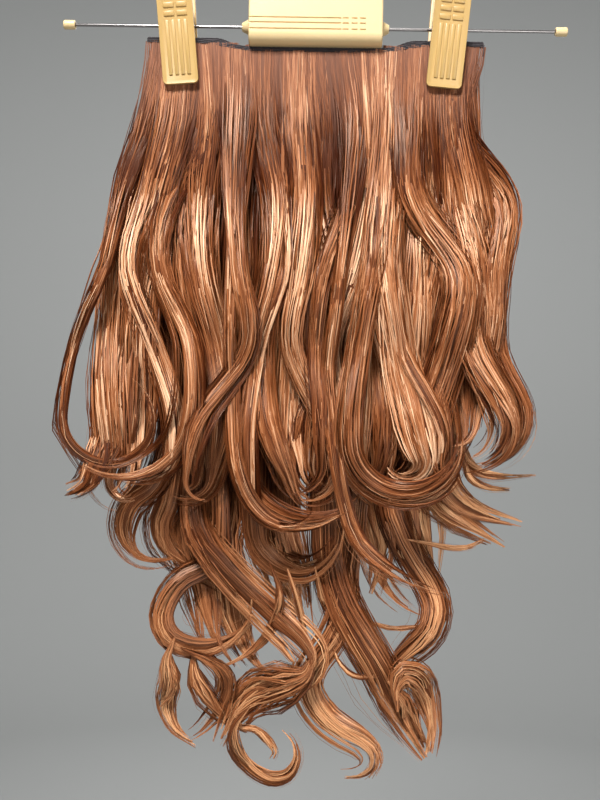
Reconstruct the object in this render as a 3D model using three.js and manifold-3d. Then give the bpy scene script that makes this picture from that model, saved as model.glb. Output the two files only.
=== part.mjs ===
// A hair extension of two sewn wefts, the front one shorter and waved, the rear one longer with ringlets,
// held in the two clips of a plain skirt hanger.
// Millimetres. +X is to the right, +Y is away from the viewer and +Z is up.
// The origin is the underside of the hook's crown, where the hanger rests on a rail.

import * as THREE from 'three';
import { mergeVertices } from 'three/addons/utils/BufferGeometryUtils.js';
import Module from 'manifold-3d';

const wasm = await Module();
wasm.setup();

// Clearance between neighbouring pieces, and how far shapes joined in one piece reach into each other
const GAP = 0.3;
const OVERLAP = 1;

// How finely round shapes are divided
const PLATE_CORNER_STEPS = 2;
const SIDE_CORNER_STEPS = 4;
const BORE_SIDES = 12;
const ROD_SIDES = 10;

// Hook
const HOOK_WIRE = 1.75;
const HOOK_INSIDE = 18;
const HOOK_STEM_TURN = 60;
const HOOK_END_ANGLE = 205;
const HOOK_DEPTH_IN_BODY = 14;
const HOOK_BEND_STEP = 20;
const HOOK_SIDES = 7;
const HOOK_TIP = 0.6;

// Rod and its end caps
const ROD_Z = -95;
const ROD_RADIUS = 1.25;
const ROD_HALF_LENGTH = 199;
const CAP_RADIUS = 3.6;
const CAP_LENGTH = 9.5;
const CAP_WALL = 2;
const CAP_EDGE = 1.6;

// Grip of the hanger
const BODY_WIDTH = 106;
const BODY_DEPTH = 27;
const BODY_BELOW_ROD = 16;
const BODY_ABOVE_ROD = 28;
const BODY_CORNER = 8;
const BODY_BEVEL = 1.5;
const BODY_GROOVES = [-5.6, -0.8, 3.2];
const GROOVE_HEIGHT = 1.4;
const GROOVE_DEPTH = 0.9;
const BOSS_RADIUS = 6.5;
const BOSS_TIP_RADIUS = 3.2;
const BOSS_LENGTH = 6;

// Clips: a plate on each side, leaning out at the top and turned a little inwards at the foot
const LEFT_CLIP_X = -110;
const RIGHT_CLIP_X = 106;
const CLIP_TILT = 7;
const CLIP_TOE_IN = 4.8;
const JAW_WIDTH = 28;
const JAW_TOP = 38;
const JAW_FOOT = -48.5;
const JAW_THICKNESS = 2.6;
const JAW_CORNER = 3.5;
const JAW_INNER_CORNER = 1.5;
const JAW_RELIEF = 0.9;
const JAW_BORDER = 2.4;
const LIP_HEIGHT = 4;
const LIP_DEPTH = 1.2;
const RIB_WIDTH = 3;
const RIB_PLACES = [-7.2, -2.4, 2.4, 7.2];
const RIB_FOOT = -41.5;
const RIB_TOP = 0.3;
const BUMP_PLACES = [-5, 5];
const BUMP_LEVELS = [5.3, 11.8, 18.3];
const BUMP_WIDTH = 8.3;
const BUMP_HEIGHT = 3.9;
const CHEEK_THICKNESS = 2;
const CHEEK_RADIUS = 4.6;
const CHEEK_HOLE = 2.4;
const CHEEK_ROOT = 13;
const FRONT_CHEEK_X = 7.5;
const BACK_CHEEK_X = 10.2;

// Sewn bands: each hangs level outside the clips and sags between them
const BAND_HALF_LENGTH = 134;
const BAND_HEIGHT = 3.5;
const BAND_THICKNESS = 2.2;
const BAND_INNER_FACE = 0.4;
const BAND_STEPS = 16;
const FRONT_BAND = { level: -107.2, sag: 6.0, sagStarts: 98, sagFull: 45 };
const REAR_BAND = { level: -105.4, sag: 7.8, sagStarts: 80, sagFull: 53 };

// Hair: a thin root panel under each band, with locks that start in it
const PANEL_INNER_FACE = 0.6;
const PANEL_THICKNESS = 2.4;
const PANEL_HALF_LENGTH = 130;
const PANEL_FOOT = -150;
const LEVEL_ZERO = -111;
const LEVEL_STEP = 60;
const LOCK_START = 6;
const LOCK_SIDES = 5;
const LOCK_RING_STEP = 68;
const LOCK_BEND_STEP = 50;
const RINGLET_STEP = 190;
const RINGLET_SIDES = 4;
const ROOT_OFFSET = 1.9;
const ROOT_STAGGER = 0.012;
const ROOT_THICKNESS = 1.6;
const ROOT_THICKENING = 0.07;
const ROOT_OUTER_FACE = 3.4;
const SPREAD_STARTS = 58;
const SPREAD_FULL = 200;
const LOCK_FLATNESS = 0.42;
const LOCK_THINNEST = 4;
const LOCK_THICKEST = 12;
const LOCK_ROOT_WIDTH = 18;
const LOCK_PARTS_BELOW = 110;
const LOCK_PARTED = 290;
const LOCK_TAPER_LENGTH = 75;
const LOCK_TIP = 0.3;

// A row for each lock of the front weft.
// drop: length that hangs, turn and radius: how its end curls, in degrees towards +X, and how tightly,
// width: across the lock, depth: how far it stands off the weft,
// then its place across the weft at each level below the band.
const FRONT_LOCKS = [
  // drop turn radius width depth  at 0, 60, 120, 180, 240, 300 and 360 below the band
  [298, 240, 35, 9, 20, -122, -134, -151, -160, -186, -191, -186],
  [348, 120, 14, 44, 8, -112, -122, -139, -145, -154, -156, -160],
  [312, -105, 50, 17, 26, -86, -86, -113, -118, -95, -94, -120],
  [345, 110, 14, 15, 28, -68, -66, -64, -56, -49, -86, -96],
  [350, 60, 30, 22, 20, -44, -42, -30, -31, -40, -33, -11],
  [335, -120, 22, 26, 18, -18, -14, -6, -7, -12, 14, 25],
  [330, -100, 24, 18, 24, 18, 28, 28, 9, 4, 9, 13],
  [330, 80, 40, 22, 16, 42, 46, 46, 34, 18, 29, 30],
  [312, -100, 25, 12, 26, 54, 62, 66, 63, 71, 100, 104],
  [325, 60, 30, 32, 18, 74, 74, 78, 114, 108, 93, 99],
  [292, -115, 30, 28, 20, 102, 102, 116, 126, 128, 154, 150],
  [285, -110, 36, 26, 12, 121, 110, 150, 143, 146, 166, 150],
  [312, 185, 42, 20, 30, 47, 50, 53, 46, 38, 31, 36],
  [322, -170, 16, 32, 22, 58, 60, 58, 54, 66, 85, 99],
  [322, -110, 30, 22, 14, -110, -113, -129, -142, -123, -104, -112],
  [345, -110, 18, 34, 8, -81, -83, -92, -90, -78, -72, -82],
  [330, 125, 56, 16, 14, -54, -52, -54, -52, -60, -60, -50],
  [355, 150, 26, 14, 22, -33, -30, -26, -22, -40, -47, -45],
  [330, 100, 20, 26, 8, 4, 7, 7, 18, 25, 7, 2],
  [330, -150, 24, 26, 8, 90, 90, 101, 101, 93, 104, 108],
  [300, -90, 20, 26, 10, 114, 115, 129, 136, 138, 131, 120],
  [335, 70, 30, 34, 5, -10, -10, -8, -12, -18, -17, -10],
  [330, -60, 30, 32, 4, 54, 54, 56, 52, 50, 55, 52],
  [318, -80, 26, 30, 5, 82, 82, 86, 85, 84, 85, 86],
  [335, -60, 30, 32, 5, -106, -110, -124, -132, -135, -136, -138],
  [305, -60, 26, 26, 6, 108, 110, 116, 121, 123, 124, 120],
];

// A row for each lock that is followed point by point, such as a ringlet.
// width: across the lock, depth: how far it stands off the weft,
// then pairs of its place across the weft and its fall below the band.
// A lock that starts low parts from another one.
const FRONT_RINGLETS = [
  // width depth  place and fall, in pairs
  [10, 26, 28, 6, 33, 62, 20, 200, 14, 260, 20, 330, 29, 371, 38, 392, 53, 406, 73, 418, 92, 426, 110,
    431],
  [12, 24, -60, 6, -58, 62, -62, 200, -60, 300, -54, 338, -44, 361, -28, 376, -8, 380, 12, 376, 32,
    363],
  [32, 9, -146, 250, -155, 295, -162, 328, -174, 352, -192, 360],
];
const REAR_RINGLETS = [
  // width depth  place and fall, in pairs
  [26, 14, -112, 6, -112, 62, -114, 200, -117, 321, -128, 352, -143, 365, -151, 382, -150, 399, -140, 412,
    -126, 416, -110, 412],
  [28, 20, -104, 6, -104, 62, -106, 200, -114, 362, -121, 385, -116, 405, -100, 418, -81, 428,
    -64, 440],
  [36, 24, -84, 6, -86, 62, -88, 200, -95, 368, -99, 396, -90, 424, -84, 452, -76, 480, -60, 502],
  [38, 26, -62, 6, -62, 62, -60, 200, -66, 372, -71, 401, -62, 432, -58, 466, -44, 496, -26, 510],
  [24, 12, -92, 6, -92, 62, -86, 200, -70, 383, -72, 409, -85, 423, -100, 430, -110, 442,
    -115, 458, -109, 473, -95, 481, -77, 483, -59, 476, -47, 463, -44, 444],
  [26, 8, -74, 6, -76, 62, -80, 200, -93, 370, -85, 394, -69, 414, -49, 436, -26, 457, -6, 473,
    4, 490, -4, 507, -26, 517],
  [13, 9, -44, 526, -57, 544, -57, 563, -46, 581, -28, 591, -12, 586, -4, 570, -8, 555, -17, 547],
  [28, 10, -44, 6, -44, 62, -42, 200, -43, 379, -39, 401, -23, 416, -4, 421, 12, 413, 24, 396,
    27, 381],
  [28, 16, 30, 6, 30, 62, 32, 200, 35, 383, 32, 415, 31, 451, 21, 477, 8, 497, 3, 514, 7, 529,
    17, 542, 31, 551, 46, 558, 55, 568, 54, 580, 45, 588, 31, 591],
  [36, 12, 10, 6, 10, 62, 12, 200, 17, 383, 20, 414, 29, 444, 47, 475, 62, 501, 71, 525, 81, 546,
    91, 560, 98, 569],
  [28, 18, 66, 6, 66, 62, 66, 200, 68, 366, 76, 390, 89, 414, 101, 433, 106, 451, 100, 469,
    86, 483, 74, 497, 72, 516, 82, 534],
  [34, 24, 84, 6, 84, 62, 82, 200, 84, 372, 89, 400, 96, 423, 105, 446],
  [19, 25, 48, 6, 48, 62, 46, 200, 49, 383, 57, 414, 67, 436, 82, 451, 102, 459],
  [28, 12, 110, 6, 110, 62, 106, 200, 109, 349, 120, 363, 135, 371, 154, 376, 175, 381],
  [29, 16, 96, 6, 96, 62, 96, 200, 101, 352, 111, 370, 127, 381, 143, 390, 162, 401],
  [15, 10, 120, 6, 122, 62, 122, 200, 121, 311, 129, 330, 143, 339, 162, 340, 183, 338],
  [48, 22, -22, 6, -22, 62, -22, 200, -24, 372, -18, 404, -8, 438, 0, 472],
  [38, 22, 52, 6, 52, 62, 52, 200, 58, 370, 62, 404, 54, 442],
  [10, 12, -31, 412, -22, 436, -26, 461, -37, 481, -55, 495, -73, 500],
  [22, 14, -106, 474, -112, 492, -110, 511, -114, 533, -106, 554, -88, 564],
  [14, 15, -109, 488, -105, 508, -110, 523, -120, 535],
  [17, 12, -101, 482, -81, 491, -67, 503, -64, 517, -70, 535, -86, 554, -95, 559],
  [24, 16, -92, 484, -90, 505, -80, 524, -66, 544, -46, 556],
  [42, 12, 6, 487, 0, 502, -20, 513, -44, 525, -60, 543, -70, 562],
  [16, 10, -57, 535, -52, 545, -40, 547, -30, 555, -23, 566, -26, 574],
  [28, 11, 74, 530, 73, 510, 79, 501, 88, 505, 97, 519, 103, 537, 105, 553, 101, 570],
  [34, 13, 66, 506, 79, 524, 90, 546, 99, 568],
  [12, 19, 100, 463, 86, 465, 68, 466, 47, 461],
  [12, 12, -16, 417, -8, 442, -2, 465, 2, 486],
  [14, 13, 6, 416, 13, 446, 23, 467, 18, 486],
  [10, 14, 20, 476, 27, 493, 40, 504, 62, 506],
  [9, 18, 80, 394, 96, 396, 112, 399, 129, 400, 146, 394],
  [12, 10, 123, 317, 129, 341, 143, 350, 166, 352],
];

const { clamp, degToRad, lerp, smoothstep } = THREE.MathUtils;

// Solids

/** Turns a closed geometry into a solid that can be joined and cut. */
function solidOf(geometry) {
  const bare = geometry.clone();
  bare.deleteAttribute('normal');
  bare.deleteAttribute('uv');
  const merged = mergeVertices(bare, 1e-4);
  const vertProperties = new Float32Array(merged.attributes.position.array);
  const triVerts = new Uint32Array(merged.index.array);
  return new wasm.Manifold(new wasm.Mesh({ numProp: 3, vertProperties, triVerts }));
}

/** Turns a solid back into a geometry. */
function geometryOf(solid) {
  const { vertProperties, triVerts } = solid.getMesh();
  const geometry = new THREE.BufferGeometry();
  geometry.setAttribute('position', new THREE.BufferAttribute(vertProperties, 3));
  geometry.setIndex(new THREE.BufferAttribute(triVerts, 1));
  return geometry;
}

/** Leaves out the walls of pockets that a solid closes in, so that it is full inside. */
function withoutPockets(geometry) {
  const corners = geometry.index.array;
  const owner = Array.from({ length: geometry.attributes.position.count }, (_, i) => i);
  const find = (i) => {
    let top = i;
    while (owner[top] !== top) {
      top = owner[top];
    }
    owner[i] = top;
    return top;
  };
  for (let i = 0; i < corners.length; i += 3) {
    owner[find(corners[i + 1])] = find(corners[i]);
    owner[find(corners[i + 2])] = find(corners[i]);
  }
  const volumes = new Map();
  const [a, b, c] = [new THREE.Vector3(), new THREE.Vector3(), new THREE.Vector3()];
  for (let i = 0; i < corners.length; i += 3) {
    [a, b, c].forEach((corner, k) => {
      corner.fromBufferAttribute(geometry.attributes.position, corners[i + k]);
    });
    const shell = find(corners[i]);
    volumes.set(shell, (volumes.get(shell) ?? 0) + a.dot(b.cross(c)));
  }
  geometry.setIndex([...corners].filter((corner) => volumes.get(find(corner)) > 0));
  return geometry;
}

/** Joins a list of closed geometries into one solid. */
function joined(geometries) {
  return geometries.map(solidOf).reduce((whole, piece) => whole.add(piece));
}

/** A box by its size and centre. */
function box(width, depth, height, x, y, z) {
  return new THREE.BoxGeometry(width, depth, height).translate(x, y, z);
}

/** A cylinder or cone along X, from the first radius at the low end to the second at the high end. */
function roundBar(lowRadius, highRadius, length, sides) {
  return new THREE.CylinderGeometry(highRadius, lowRadius, length, sides).rotateZ(-Math.PI / 2);
}

/** A flat outline in X and Z with its thickness towards the viewer, from Y 0 to minus the thickness. */
function slab(shape, thickness) {
  const settings = { depth: thickness, bevelEnabled: false, curveSegments: PLATE_CORNER_STEPS };
  return new THREE.ExtrudeGeometry(shape, settings).rotateX(Math.PI / 2);
}

/** A flat outline in Y and Z with its thickness along +X. */
function sideSlab(shape, thickness, bevel = 0) {
  const settings = { depth: thickness, bevelEnabled: bevel > 0, curveSegments: SIDE_CORNER_STEPS };
  Object.assign(settings, { bevelThickness: bevel, bevelSize: bevel, bevelOffset: -bevel, bevelSegments: 1 });
  const toSide = new THREE.Matrix4().makeBasis(
    new THREE.Vector3(0, 1, 0),
    new THREE.Vector3(0, 0, 1),
    new THREE.Vector3(1, 0, 0),
  );
  return new THREE.ExtrudeGeometry(shape, settings).applyMatrix4(toSide);
}

/** A rectangle with rounded corners. */
function roundedRectangle(left, right, foot, top, corner) {
  const shape = new THREE.Shape();
  shape.absarc(right - corner, foot + corner, corner, -Math.PI / 2, 0);
  shape.absarc(right - corner, top - corner, corner, 0, Math.PI / 2);
  shape.absarc(left + corner, top - corner, corner, Math.PI / 2, Math.PI);
  shape.absarc(left + corner, foot + corner, corner, Math.PI, 1.5 * Math.PI);
  return shape;
}

// Hanger

/** The hook's wire, from its foot in the grip round the crown to its free end. */
function hookGeometry() {
  const bend = HOOK_INSIDE + HOOK_WIRE;
  const stemTop = -HOOK_INSIDE - 2 * bend * Math.sin(degToRad(HOOK_STEM_TURN));
  const foot = ROD_Z + BODY_ABOVE_ROD - HOOK_DEPTH_IN_BODY;
  const arc = (x, z, from, to) => {
    const steps = Math.ceil(Math.abs(to - from) / HOOK_BEND_STEP);
    const angles = Array.from({ length: steps + 1 }, (_, i) => degToRad(from + ((to - from) * i) / steps));
    const pointAt = (angle) => new THREE.Vector3(x + bend * Math.cos(angle), 0, z + bend * Math.sin(angle));
    return angles.map(pointAt);
  };
  const points = [
    new THREE.Vector3(0, 0, foot),
    ...arc(bend, stemTop, 180, 180 - HOOK_STEM_TURN),
    ...arc(0, -HOOK_INSIDE, -HOOK_STEM_TURN, HOOK_END_ANGLE).slice(1),
  ];
  const sizeAt = (toTip) => {
    const across = 2 * HOOK_WIRE * (toTip > 0 ? 1 : HOOK_TIP);
    return { width: across, thickness: across };
  };
  return sweep(points, sizeAt, HOOK_SIDES);
}

/** The grip: a rounded block with grooves, a boss for the rod at each end and a socket for the hook. */
function bodyGeometry() {
  const outline = roundedRectangle(
    -BODY_DEPTH / 2, BODY_DEPTH / 2, -BODY_BELOW_ROD, BODY_ABOVE_ROD, BODY_CORNER,
  );
  const block = sideSlab(outline, BODY_WIDTH - 2 * BODY_BEVEL, BODY_BEVEL)
    .translate(-BODY_WIDTH / 2 + BODY_BEVEL, 0, 0);
  const bossX = BODY_WIDTH / 2 + BOSS_LENGTH / 2 - GAP;
  const leftBoss = roundBar(BOSS_TIP_RADIUS, BOSS_RADIUS, BOSS_LENGTH, BORE_SIDES).translate(-bossX, 0, 0);
  const rightBoss = roundBar(BOSS_RADIUS, BOSS_TIP_RADIUS, BOSS_LENGTH, BORE_SIDES).translate(bossX, 0, 0);
  const rodHole = roundBar(ROD_RADIUS + GAP, ROD_RADIUS + GAP, 2 * BODY_WIDTH, BORE_SIDES);
  const socketDepth = HOOK_DEPTH_IN_BODY + GAP;
  const socketRadius = HOOK_WIRE + GAP;
  const socket = new THREE.CylinderGeometry(socketRadius, socketRadius, 2 * socketDepth, BORE_SIDES)
    .rotateX(Math.PI / 2)
    .translate(0, 0, BODY_ABOVE_ROD);
  const grooves = BODY_GROOVES.map((level) => (
    box(BODY_WIDTH + 2 * OVERLAP, 2 * GROOVE_DEPTH, GROOVE_HEIGHT, 0, -BODY_DEPTH / 2, level)
  ));
  const cuts = joined([rodHole, socket, ...grooves]);
  return geometryOf(joined([block, leftBoss, rightBoss]).subtract(cuts));
}

/** A cap with a blind bore, its closed end towards +X. */
function capGeometry() {
  const bore = ROD_RADIUS + GAP;
  const profile = [
    [0, CAP_LENGTH],
    [CAP_RADIUS - CAP_EDGE, CAP_LENGTH],
    [CAP_RADIUS, CAP_LENGTH - CAP_EDGE],
    [CAP_RADIUS, 0],
    [bore, 0],
    [bore, CAP_LENGTH - CAP_WALL],
    [0, CAP_LENGTH - CAP_WALL],
  ].map(([radius, along]) => new THREE.Vector2(radius, along));
  return new THREE.LatheGeometry(profile.reverse(), ROD_SIDES).rotateZ(-Math.PI / 2);
}

/** A clip's jaw for the near side, with the rod at the origin: plate, gripping lip and two cheeks. */
function jawGeometry(cheekX, withRelief) {
  const tilt = degToRad(CLIP_TILT);
  const half = JAW_WIDTH / 2;
  const hairFace = ROOT_OUTER_FACE + GAP;
  const standOff = hairFace + LIP_DEPTH * Math.cos(tilt) - JAW_FOOT * Math.sin(tilt);
  const rod = new THREE.Vector2(standOff, 0).rotateAround(new THREE.Vector2(), -tilt);
  const pieces = [
    slab(roundedRectangle(-half, half, JAW_FOOT, JAW_TOP, JAW_CORNER), JAW_THICKNESS),
    box(
      JAW_WIDTH - 2 * JAW_CORNER, LIP_DEPTH + OVERLAP, LIP_HEIGHT,
      0, (LIP_DEPTH - OVERLAP) / 2, JAW_FOOT + LIP_HEIGHT / 2,
    ),
  ];
  for (const x of [-cheekX - CHEEK_THICKNESS, cheekX]) {
    const cheek = new THREE.Shape();
    cheek.moveTo(-OVERLAP, -CHEEK_ROOT);
    cheek.lineTo(rod.x, rod.y - CHEEK_RADIUS);
    cheek.absarc(rod.x, rod.y, CHEEK_RADIUS, -Math.PI / 2, Math.PI / 2);
    cheek.lineTo(-OVERLAP, CHEEK_ROOT);
    cheek.holes.push(new THREE.Path().absarc(rod.x, rod.y, CHEEK_HOLE, 0, 2 * Math.PI));
    pieces.push(sideSlab(cheek, CHEEK_THICKNESS).translate(x, 0, 0));
  }
  if (withRelief) {
    const raised = JAW_RELIEF + OVERLAP;
    const face = OVERLAP - JAW_THICKNESS;
    const border = roundedRectangle(-half, half, JAW_FOOT, JAW_TOP, JAW_CORNER);
    border.holes.push(roundedRectangle(
      JAW_BORDER - half, half - JAW_BORDER, JAW_FOOT + JAW_BORDER, JAW_TOP - JAW_BORDER, JAW_INNER_CORNER,
    ));
    pieces.push(slab(border, raised).translate(0, face, 0));
    for (const x of RIB_PLACES) {
      pieces.push(box(RIB_WIDTH, raised, RIB_TOP - RIB_FOOT, x, face - raised / 2, (RIB_TOP + RIB_FOOT) / 2));
    }
    for (const x of BUMP_PLACES) {
      for (const level of BUMP_LEVELS) {
        pieces.push(box(BUMP_WIDTH, raised, BUMP_HEIGHT, x, face - raised / 2, level));
      }
    }
  }
  return geometryOf(joined(pieces)).rotateX(tilt).translate(0, -standOff, 0);
}

// Wefts

/** Height of a band's middle at a place across the weft. */
function bandLevel({ level, sag, sagStarts, sagFull }, x) {
  return level - sag * (1 - smoothstep(Math.abs(x), sagFull, sagStarts));
}

/** A strip between an upper and a lower edge, both given as heights across the weft. */
function stripGeometry(halfLength, upper, lower, thickness) {
  const stepAt = (_, i) => BAND_HALF_LENGTH * ((2 * i) / BAND_STEPS - 1);
  const steps = Array.from({ length: BAND_STEPS + 1 }, stepAt);
  const places = steps.map((x) => clamp(x, -halfLength, halfLength));
  const foot = places.map((x) => new THREE.Vector2(x, lower(x)));
  const top = places.map((x) => new THREE.Vector2(x, upper(x))).reverse();
  return slab(new THREE.Shape([...foot, ...top]), thickness);
}

/** The sewn band of a weft, its near face at Y 0 before it is placed. */
function bandGeometry(band) {
  const upper = (x) => bandLevel(band, x) + BAND_HEIGHT / 2;
  const lower = (x) => bandLevel(band, x) - BAND_HEIGHT / 2;
  return stripGeometry(BAND_HALF_LENGTH, upper, lower, BAND_THICKNESS);
}

/** Where a hanging lock stands across the weft: a smooth curve through its places at even levels. */
function placeAt(places, fall) {
  const last = places.length - 1;
  const span = Math.min(Math.floor(fall / LEVEL_STEP), last - 1);
  const share = fall / LEVEL_STEP - span;
  const near = [-1, 0, 1, 2].map((step) => places[clamp(span + step, 0, last)]);
  const slopeIn = (near[2] - near[0]) / 2;
  const slopeOut = (near[3] - near[1]) / 2;
  const rise = near[2] - near[1];
  const bend = 3 * rise - 2 * slopeIn - slopeOut;
  const twist = slopeIn + slopeOut - 2 * rise;
  return near[1] + share * (slopeIn + share * (bend + share * twist));
}

/** A point down the middle of a lock, with how far it has spread off the weft and parted there. */
function lockPoint(x, z, fall, depth, side) {
  const spread = smoothstep(fall, SPREAD_STARTS, SPREAD_FULL);
  const middle = new THREE.Vector3(x, side * (ROOT_OFFSET + depth * lerp(ROOT_STAGGER, 1, spread)), z);
  return { middle, spread, parted: smoothstep(fall, LOCK_PARTS_BELOW, LOCK_PARTED) };
}

/** Points down the middle of a hanging lock: its hang, then the bend of its curled end. */
function lockPoints({ drop, turn, radius, depth, places }, side) {
  const points = [];
  const rings = Math.ceil((drop - LOCK_START) / LOCK_RING_STEP);
  for (let i = 0; i <= rings; i += 1) {
    const fall = LOCK_START + ((drop - LOCK_START) * i) / rings;
    points.push(lockPoint(placeAt(places, fall), LEVEL_ZERO - fall, fall, depth, side));
  }
  const startX = placeAt(places, drop);
  const startHeading = Math.atan(startX - placeAt(places, drop - 1));
  const hand = Math.sign(turn) * radius;
  const steps = Math.ceil(Math.abs(turn) / LOCK_BEND_STEP);
  for (let i = 1; i <= steps; i += 1) {
    const heading = startHeading + (degToRad(turn) * i) / steps;
    const x = startX + hand * (Math.cos(startHeading) - Math.cos(heading));
    const z = LEVEL_ZERO - drop - hand * (Math.sin(heading) - Math.sin(startHeading));
    points.push(lockPoint(x, z, drop, depth, side));
  }
  return points;
}

/** Points down the middle of a ringlet: the points of its row, with long reaches divided. */
function ringletPoints({ depth, path }, side) {
  const points = [];
  path.forEach(([x, fall], i) => {
    const [fromX, fromFall] = path[Math.max(i - 1, 0)];
    const steps = Math.max(1, Math.ceil(Math.hypot(x - fromX, fall - fromFall) / RINGLET_STEP));
    for (let step = i > 0 ? 1 : steps; step <= steps; step += 1) {
      const level = lerp(fromFall, fall, step / steps);
      points.push(lockPoint(lerp(fromX, x, step / steps), LEVEL_ZERO - level, level, depth, side));
    }
  });
  return points;
}

/** Sweeps a flat many-sided section along points, closed at both ends. */
function sweep(points, sizeAt, sides) {
  const vertices = [];
  const faces = [];
  const count = points.length;
  const lengths = [0];
  for (let i = 1; i < count; i += 1) {
    lengths.push(lengths[i - 1] + points[i].distanceTo(points[i - 1]));
  }
  points.forEach((middle, i) => {
    const along = points[Math.min(i + 1, count - 1)].clone().sub(points[Math.max(i - 1, 0)]).normalize();
    const across = new THREE.Vector3(-along.z, 0, along.x).normalize();
    const through = along.clone().cross(across);
    const { width, thickness } = sizeAt(lengths[count - 1] - lengths[i], i);
    for (let side = 0; side < sides; side += 1) {
      const angle = (2 * Math.PI * side) / sides + (sides % 2 ? Math.PI / 2 : 0);
      vertices.push(middle.clone()
        .addScaledVector(across, (width / 2) * Math.cos(angle))
        .addScaledVector(through, (thickness / 2) * Math.sin(angle)));
    }
  });
  for (let i = 0; i + 1 < count; i += 1) {
    for (let side = 0; side < sides; side += 1) {
      const [a, b] = [i * sides + side, i * sides + ((side + 1) % sides)];
      faces.push(a, b, b + sides, a, b + sides, a + sides);
    }
  }
  const lastRing = (count - 1) * sides;
  for (let side = 1; side + 1 < sides; side += 1) {
    faces.push(0, side + 1, side);
    faces.push(lastRing, lastRing + side, lastRing + side + 1);
  }
  const geometry = new THREE.BufferGeometry().setFromPoints(vertices);
  geometry.setIndex(faces);
  return geometry;
}

/** One lock: a flat tube, thin in the root panel, of its own width once parted and narrow at its tip. */
function lockGeometry(lock, side) {
  const points = lock.path ? ringletPoints(lock, side) : lockPoints(lock, side);
  const fullThickness = clamp(LOCK_FLATNESS * lock.width, LOCK_THINNEST, LOCK_THICKEST);
  const rootThickness = ROOT_THICKNESS + ROOT_THICKENING * fullThickness;
  const sizeAt = (toTip, i) => {
    const { spread, parted } = points[i];
    const taper = lerp(LOCK_TIP, 1, smoothstep(toTip, 0, LOCK_TAPER_LENGTH));
    const width = taper * lerp(LOCK_ROOT_WIDTH, lock.width, parted);
    return { width, thickness: taper * lerp(rootThickness, fullThickness, spread) };
  };
  return sweep(points.map(({ middle }) => middle), sizeAt, lock.path ? RINGLET_SIDES : LOCK_SIDES);
}

/** The hair of a weft: its root panel with every lock joined to it. */
function hairGeometry(band, locks, side) {
  const upper = (x) => bandLevel(band, x) - BAND_HEIGHT / 2 - GAP;
  const nearFace = side < 0 ? -PANEL_INNER_FACE : PANEL_INNER_FACE + PANEL_THICKNESS;
  const panel = stripGeometry(PANEL_HALF_LENGTH, upper, () => PANEL_FOOT, PANEL_THICKNESS)
    .translate(0, nearFace, 0);
  return withoutPockets(geometryOf(joined([panel, ...locks.map((lock) => lockGeometry(lock, side))])));
}

// Scene

const cream = new THREE.MeshStandardMaterial({ color: 0xebcb8c, roughness: 0.42, metalness: 0 });
const steel = new THREE.MeshStandardMaterial({ color: 0xa8a8a4, roughness: 0.3, metalness: 1 });
const thread = new THREE.MeshStandardMaterial({ color: 0x1b181b, roughness: 0.8, metalness: 0 });
const auburn = new THREE.MeshStandardMaterial({ color: 0x9a6446, roughness: 0.45, metalness: 0 });
const copper = new THREE.MeshStandardMaterial({ color: 0x80543a, roughness: 0.45, metalness: 0 });

/** A named piece of the object. */
function piece(name, geometry, material) {
  const mesh = new THREE.Mesh(geometry, material);
  mesh.name = name;
  return mesh;
}

/** The hook, grip, rod and end caps. */
function hanger() {
  const group = new THREE.Group();
  const body = piece('hanger_body', bodyGeometry(), cream);
  body.position.z = ROD_Z;
  const rod = piece('hanger_rod', roundBar(ROD_RADIUS, ROD_RADIUS, 2 * ROD_HALF_LENGTH, ROD_SIDES), steel);
  rod.position.z = ROD_Z;
  group.add(piece('hanger_hook', hookGeometry(), steel), body, rod);
  const capSeat = ROD_HALF_LENGTH - CAP_LENGTH + CAP_WALL + GAP;
  for (const [name, side] of [['end_cap_left', -1], ['end_cap_right', 1]]) {
    const cap = piece(name, capGeometry(), cream);
    cap.rotation.z = side < 0 ? Math.PI : 0;
    cap.position.set(side * capSeat, 0, ROD_Z);
    group.add(cap);
  }
  return group;
}

/** A clip of two jaws on the rod, its foot turned towards the middle. */
function clip(name, x) {
  const group = new THREE.Group();
  const front = piece(`${name}_front_jaw`, jawGeometry(FRONT_CHEEK_X, true), cream);
  const back = piece(`${name}_back_jaw`, jawGeometry(BACK_CHEEK_X, false), cream);
  back.rotation.z = Math.PI;
  group.add(front, back);
  group.position.set(x, 0, ROD_Z);
  group.rotation.y = Math.sign(x) * degToRad(CLIP_TOE_IN);
  return group;
}

/** A weft: its sewn band and its hair, on the near side of the middle or the far side. */
function weft(name, band, locks, side, material) {
  const group = new THREE.Group();
  const sewn = piece(`${name}_band`, bandGeometry(band), thread);
  sewn.position.y = side < 0 ? -BAND_INNER_FACE : BAND_INNER_FACE + BAND_THICKNESS;
  group.add(sewn, piece(`${name}_hair`, hairGeometry(band, locks, side), material));
  return group;
}

/** A ringlet from its row. */
function ringlet([width, depth, ...places]) {
  const path = places.flatMap((x, i) => (i % 2 ? [] : [[x, places[i + 1]]]));
  return { width, depth, path };
}

const frontLocks = FRONT_LOCKS.map(([drop, turn, radius, width, depth, ...places]) => (
  { drop, turn, radius, width, depth, places }
));
frontLocks.push(...FRONT_RINGLETS.map(ringlet));
const rearLocks = REAR_RINGLETS.map(ringlet);

const extension = new THREE.Group();
extension.add(
  hanger(),
  clip('clip_left', LEFT_CLIP_X),
  clip('clip_right', RIGHT_CLIP_X),
  weft('front_weft', FRONT_BAND, frontLocks, -1, auburn),
  weft('rear_weft', REAR_BAND, rearLocks, 1, copper),
);

export default extension;
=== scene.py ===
"""A hair extension of two sewn wefts, hung in the two clips of a cream skirt hanger.

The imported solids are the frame. Every length is in metres, +X is to the right,
+Y is away from the viewer and +Z is up. Tables of locks are in millimetres.
"""

import logging
import math
from collections.abc import Callable, Mapping, Sequence
from dataclasses import dataclass
from enum import Enum
from typing import Any

import bpy
import numpy as np
from mathutils import Matrix, Vector


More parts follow.
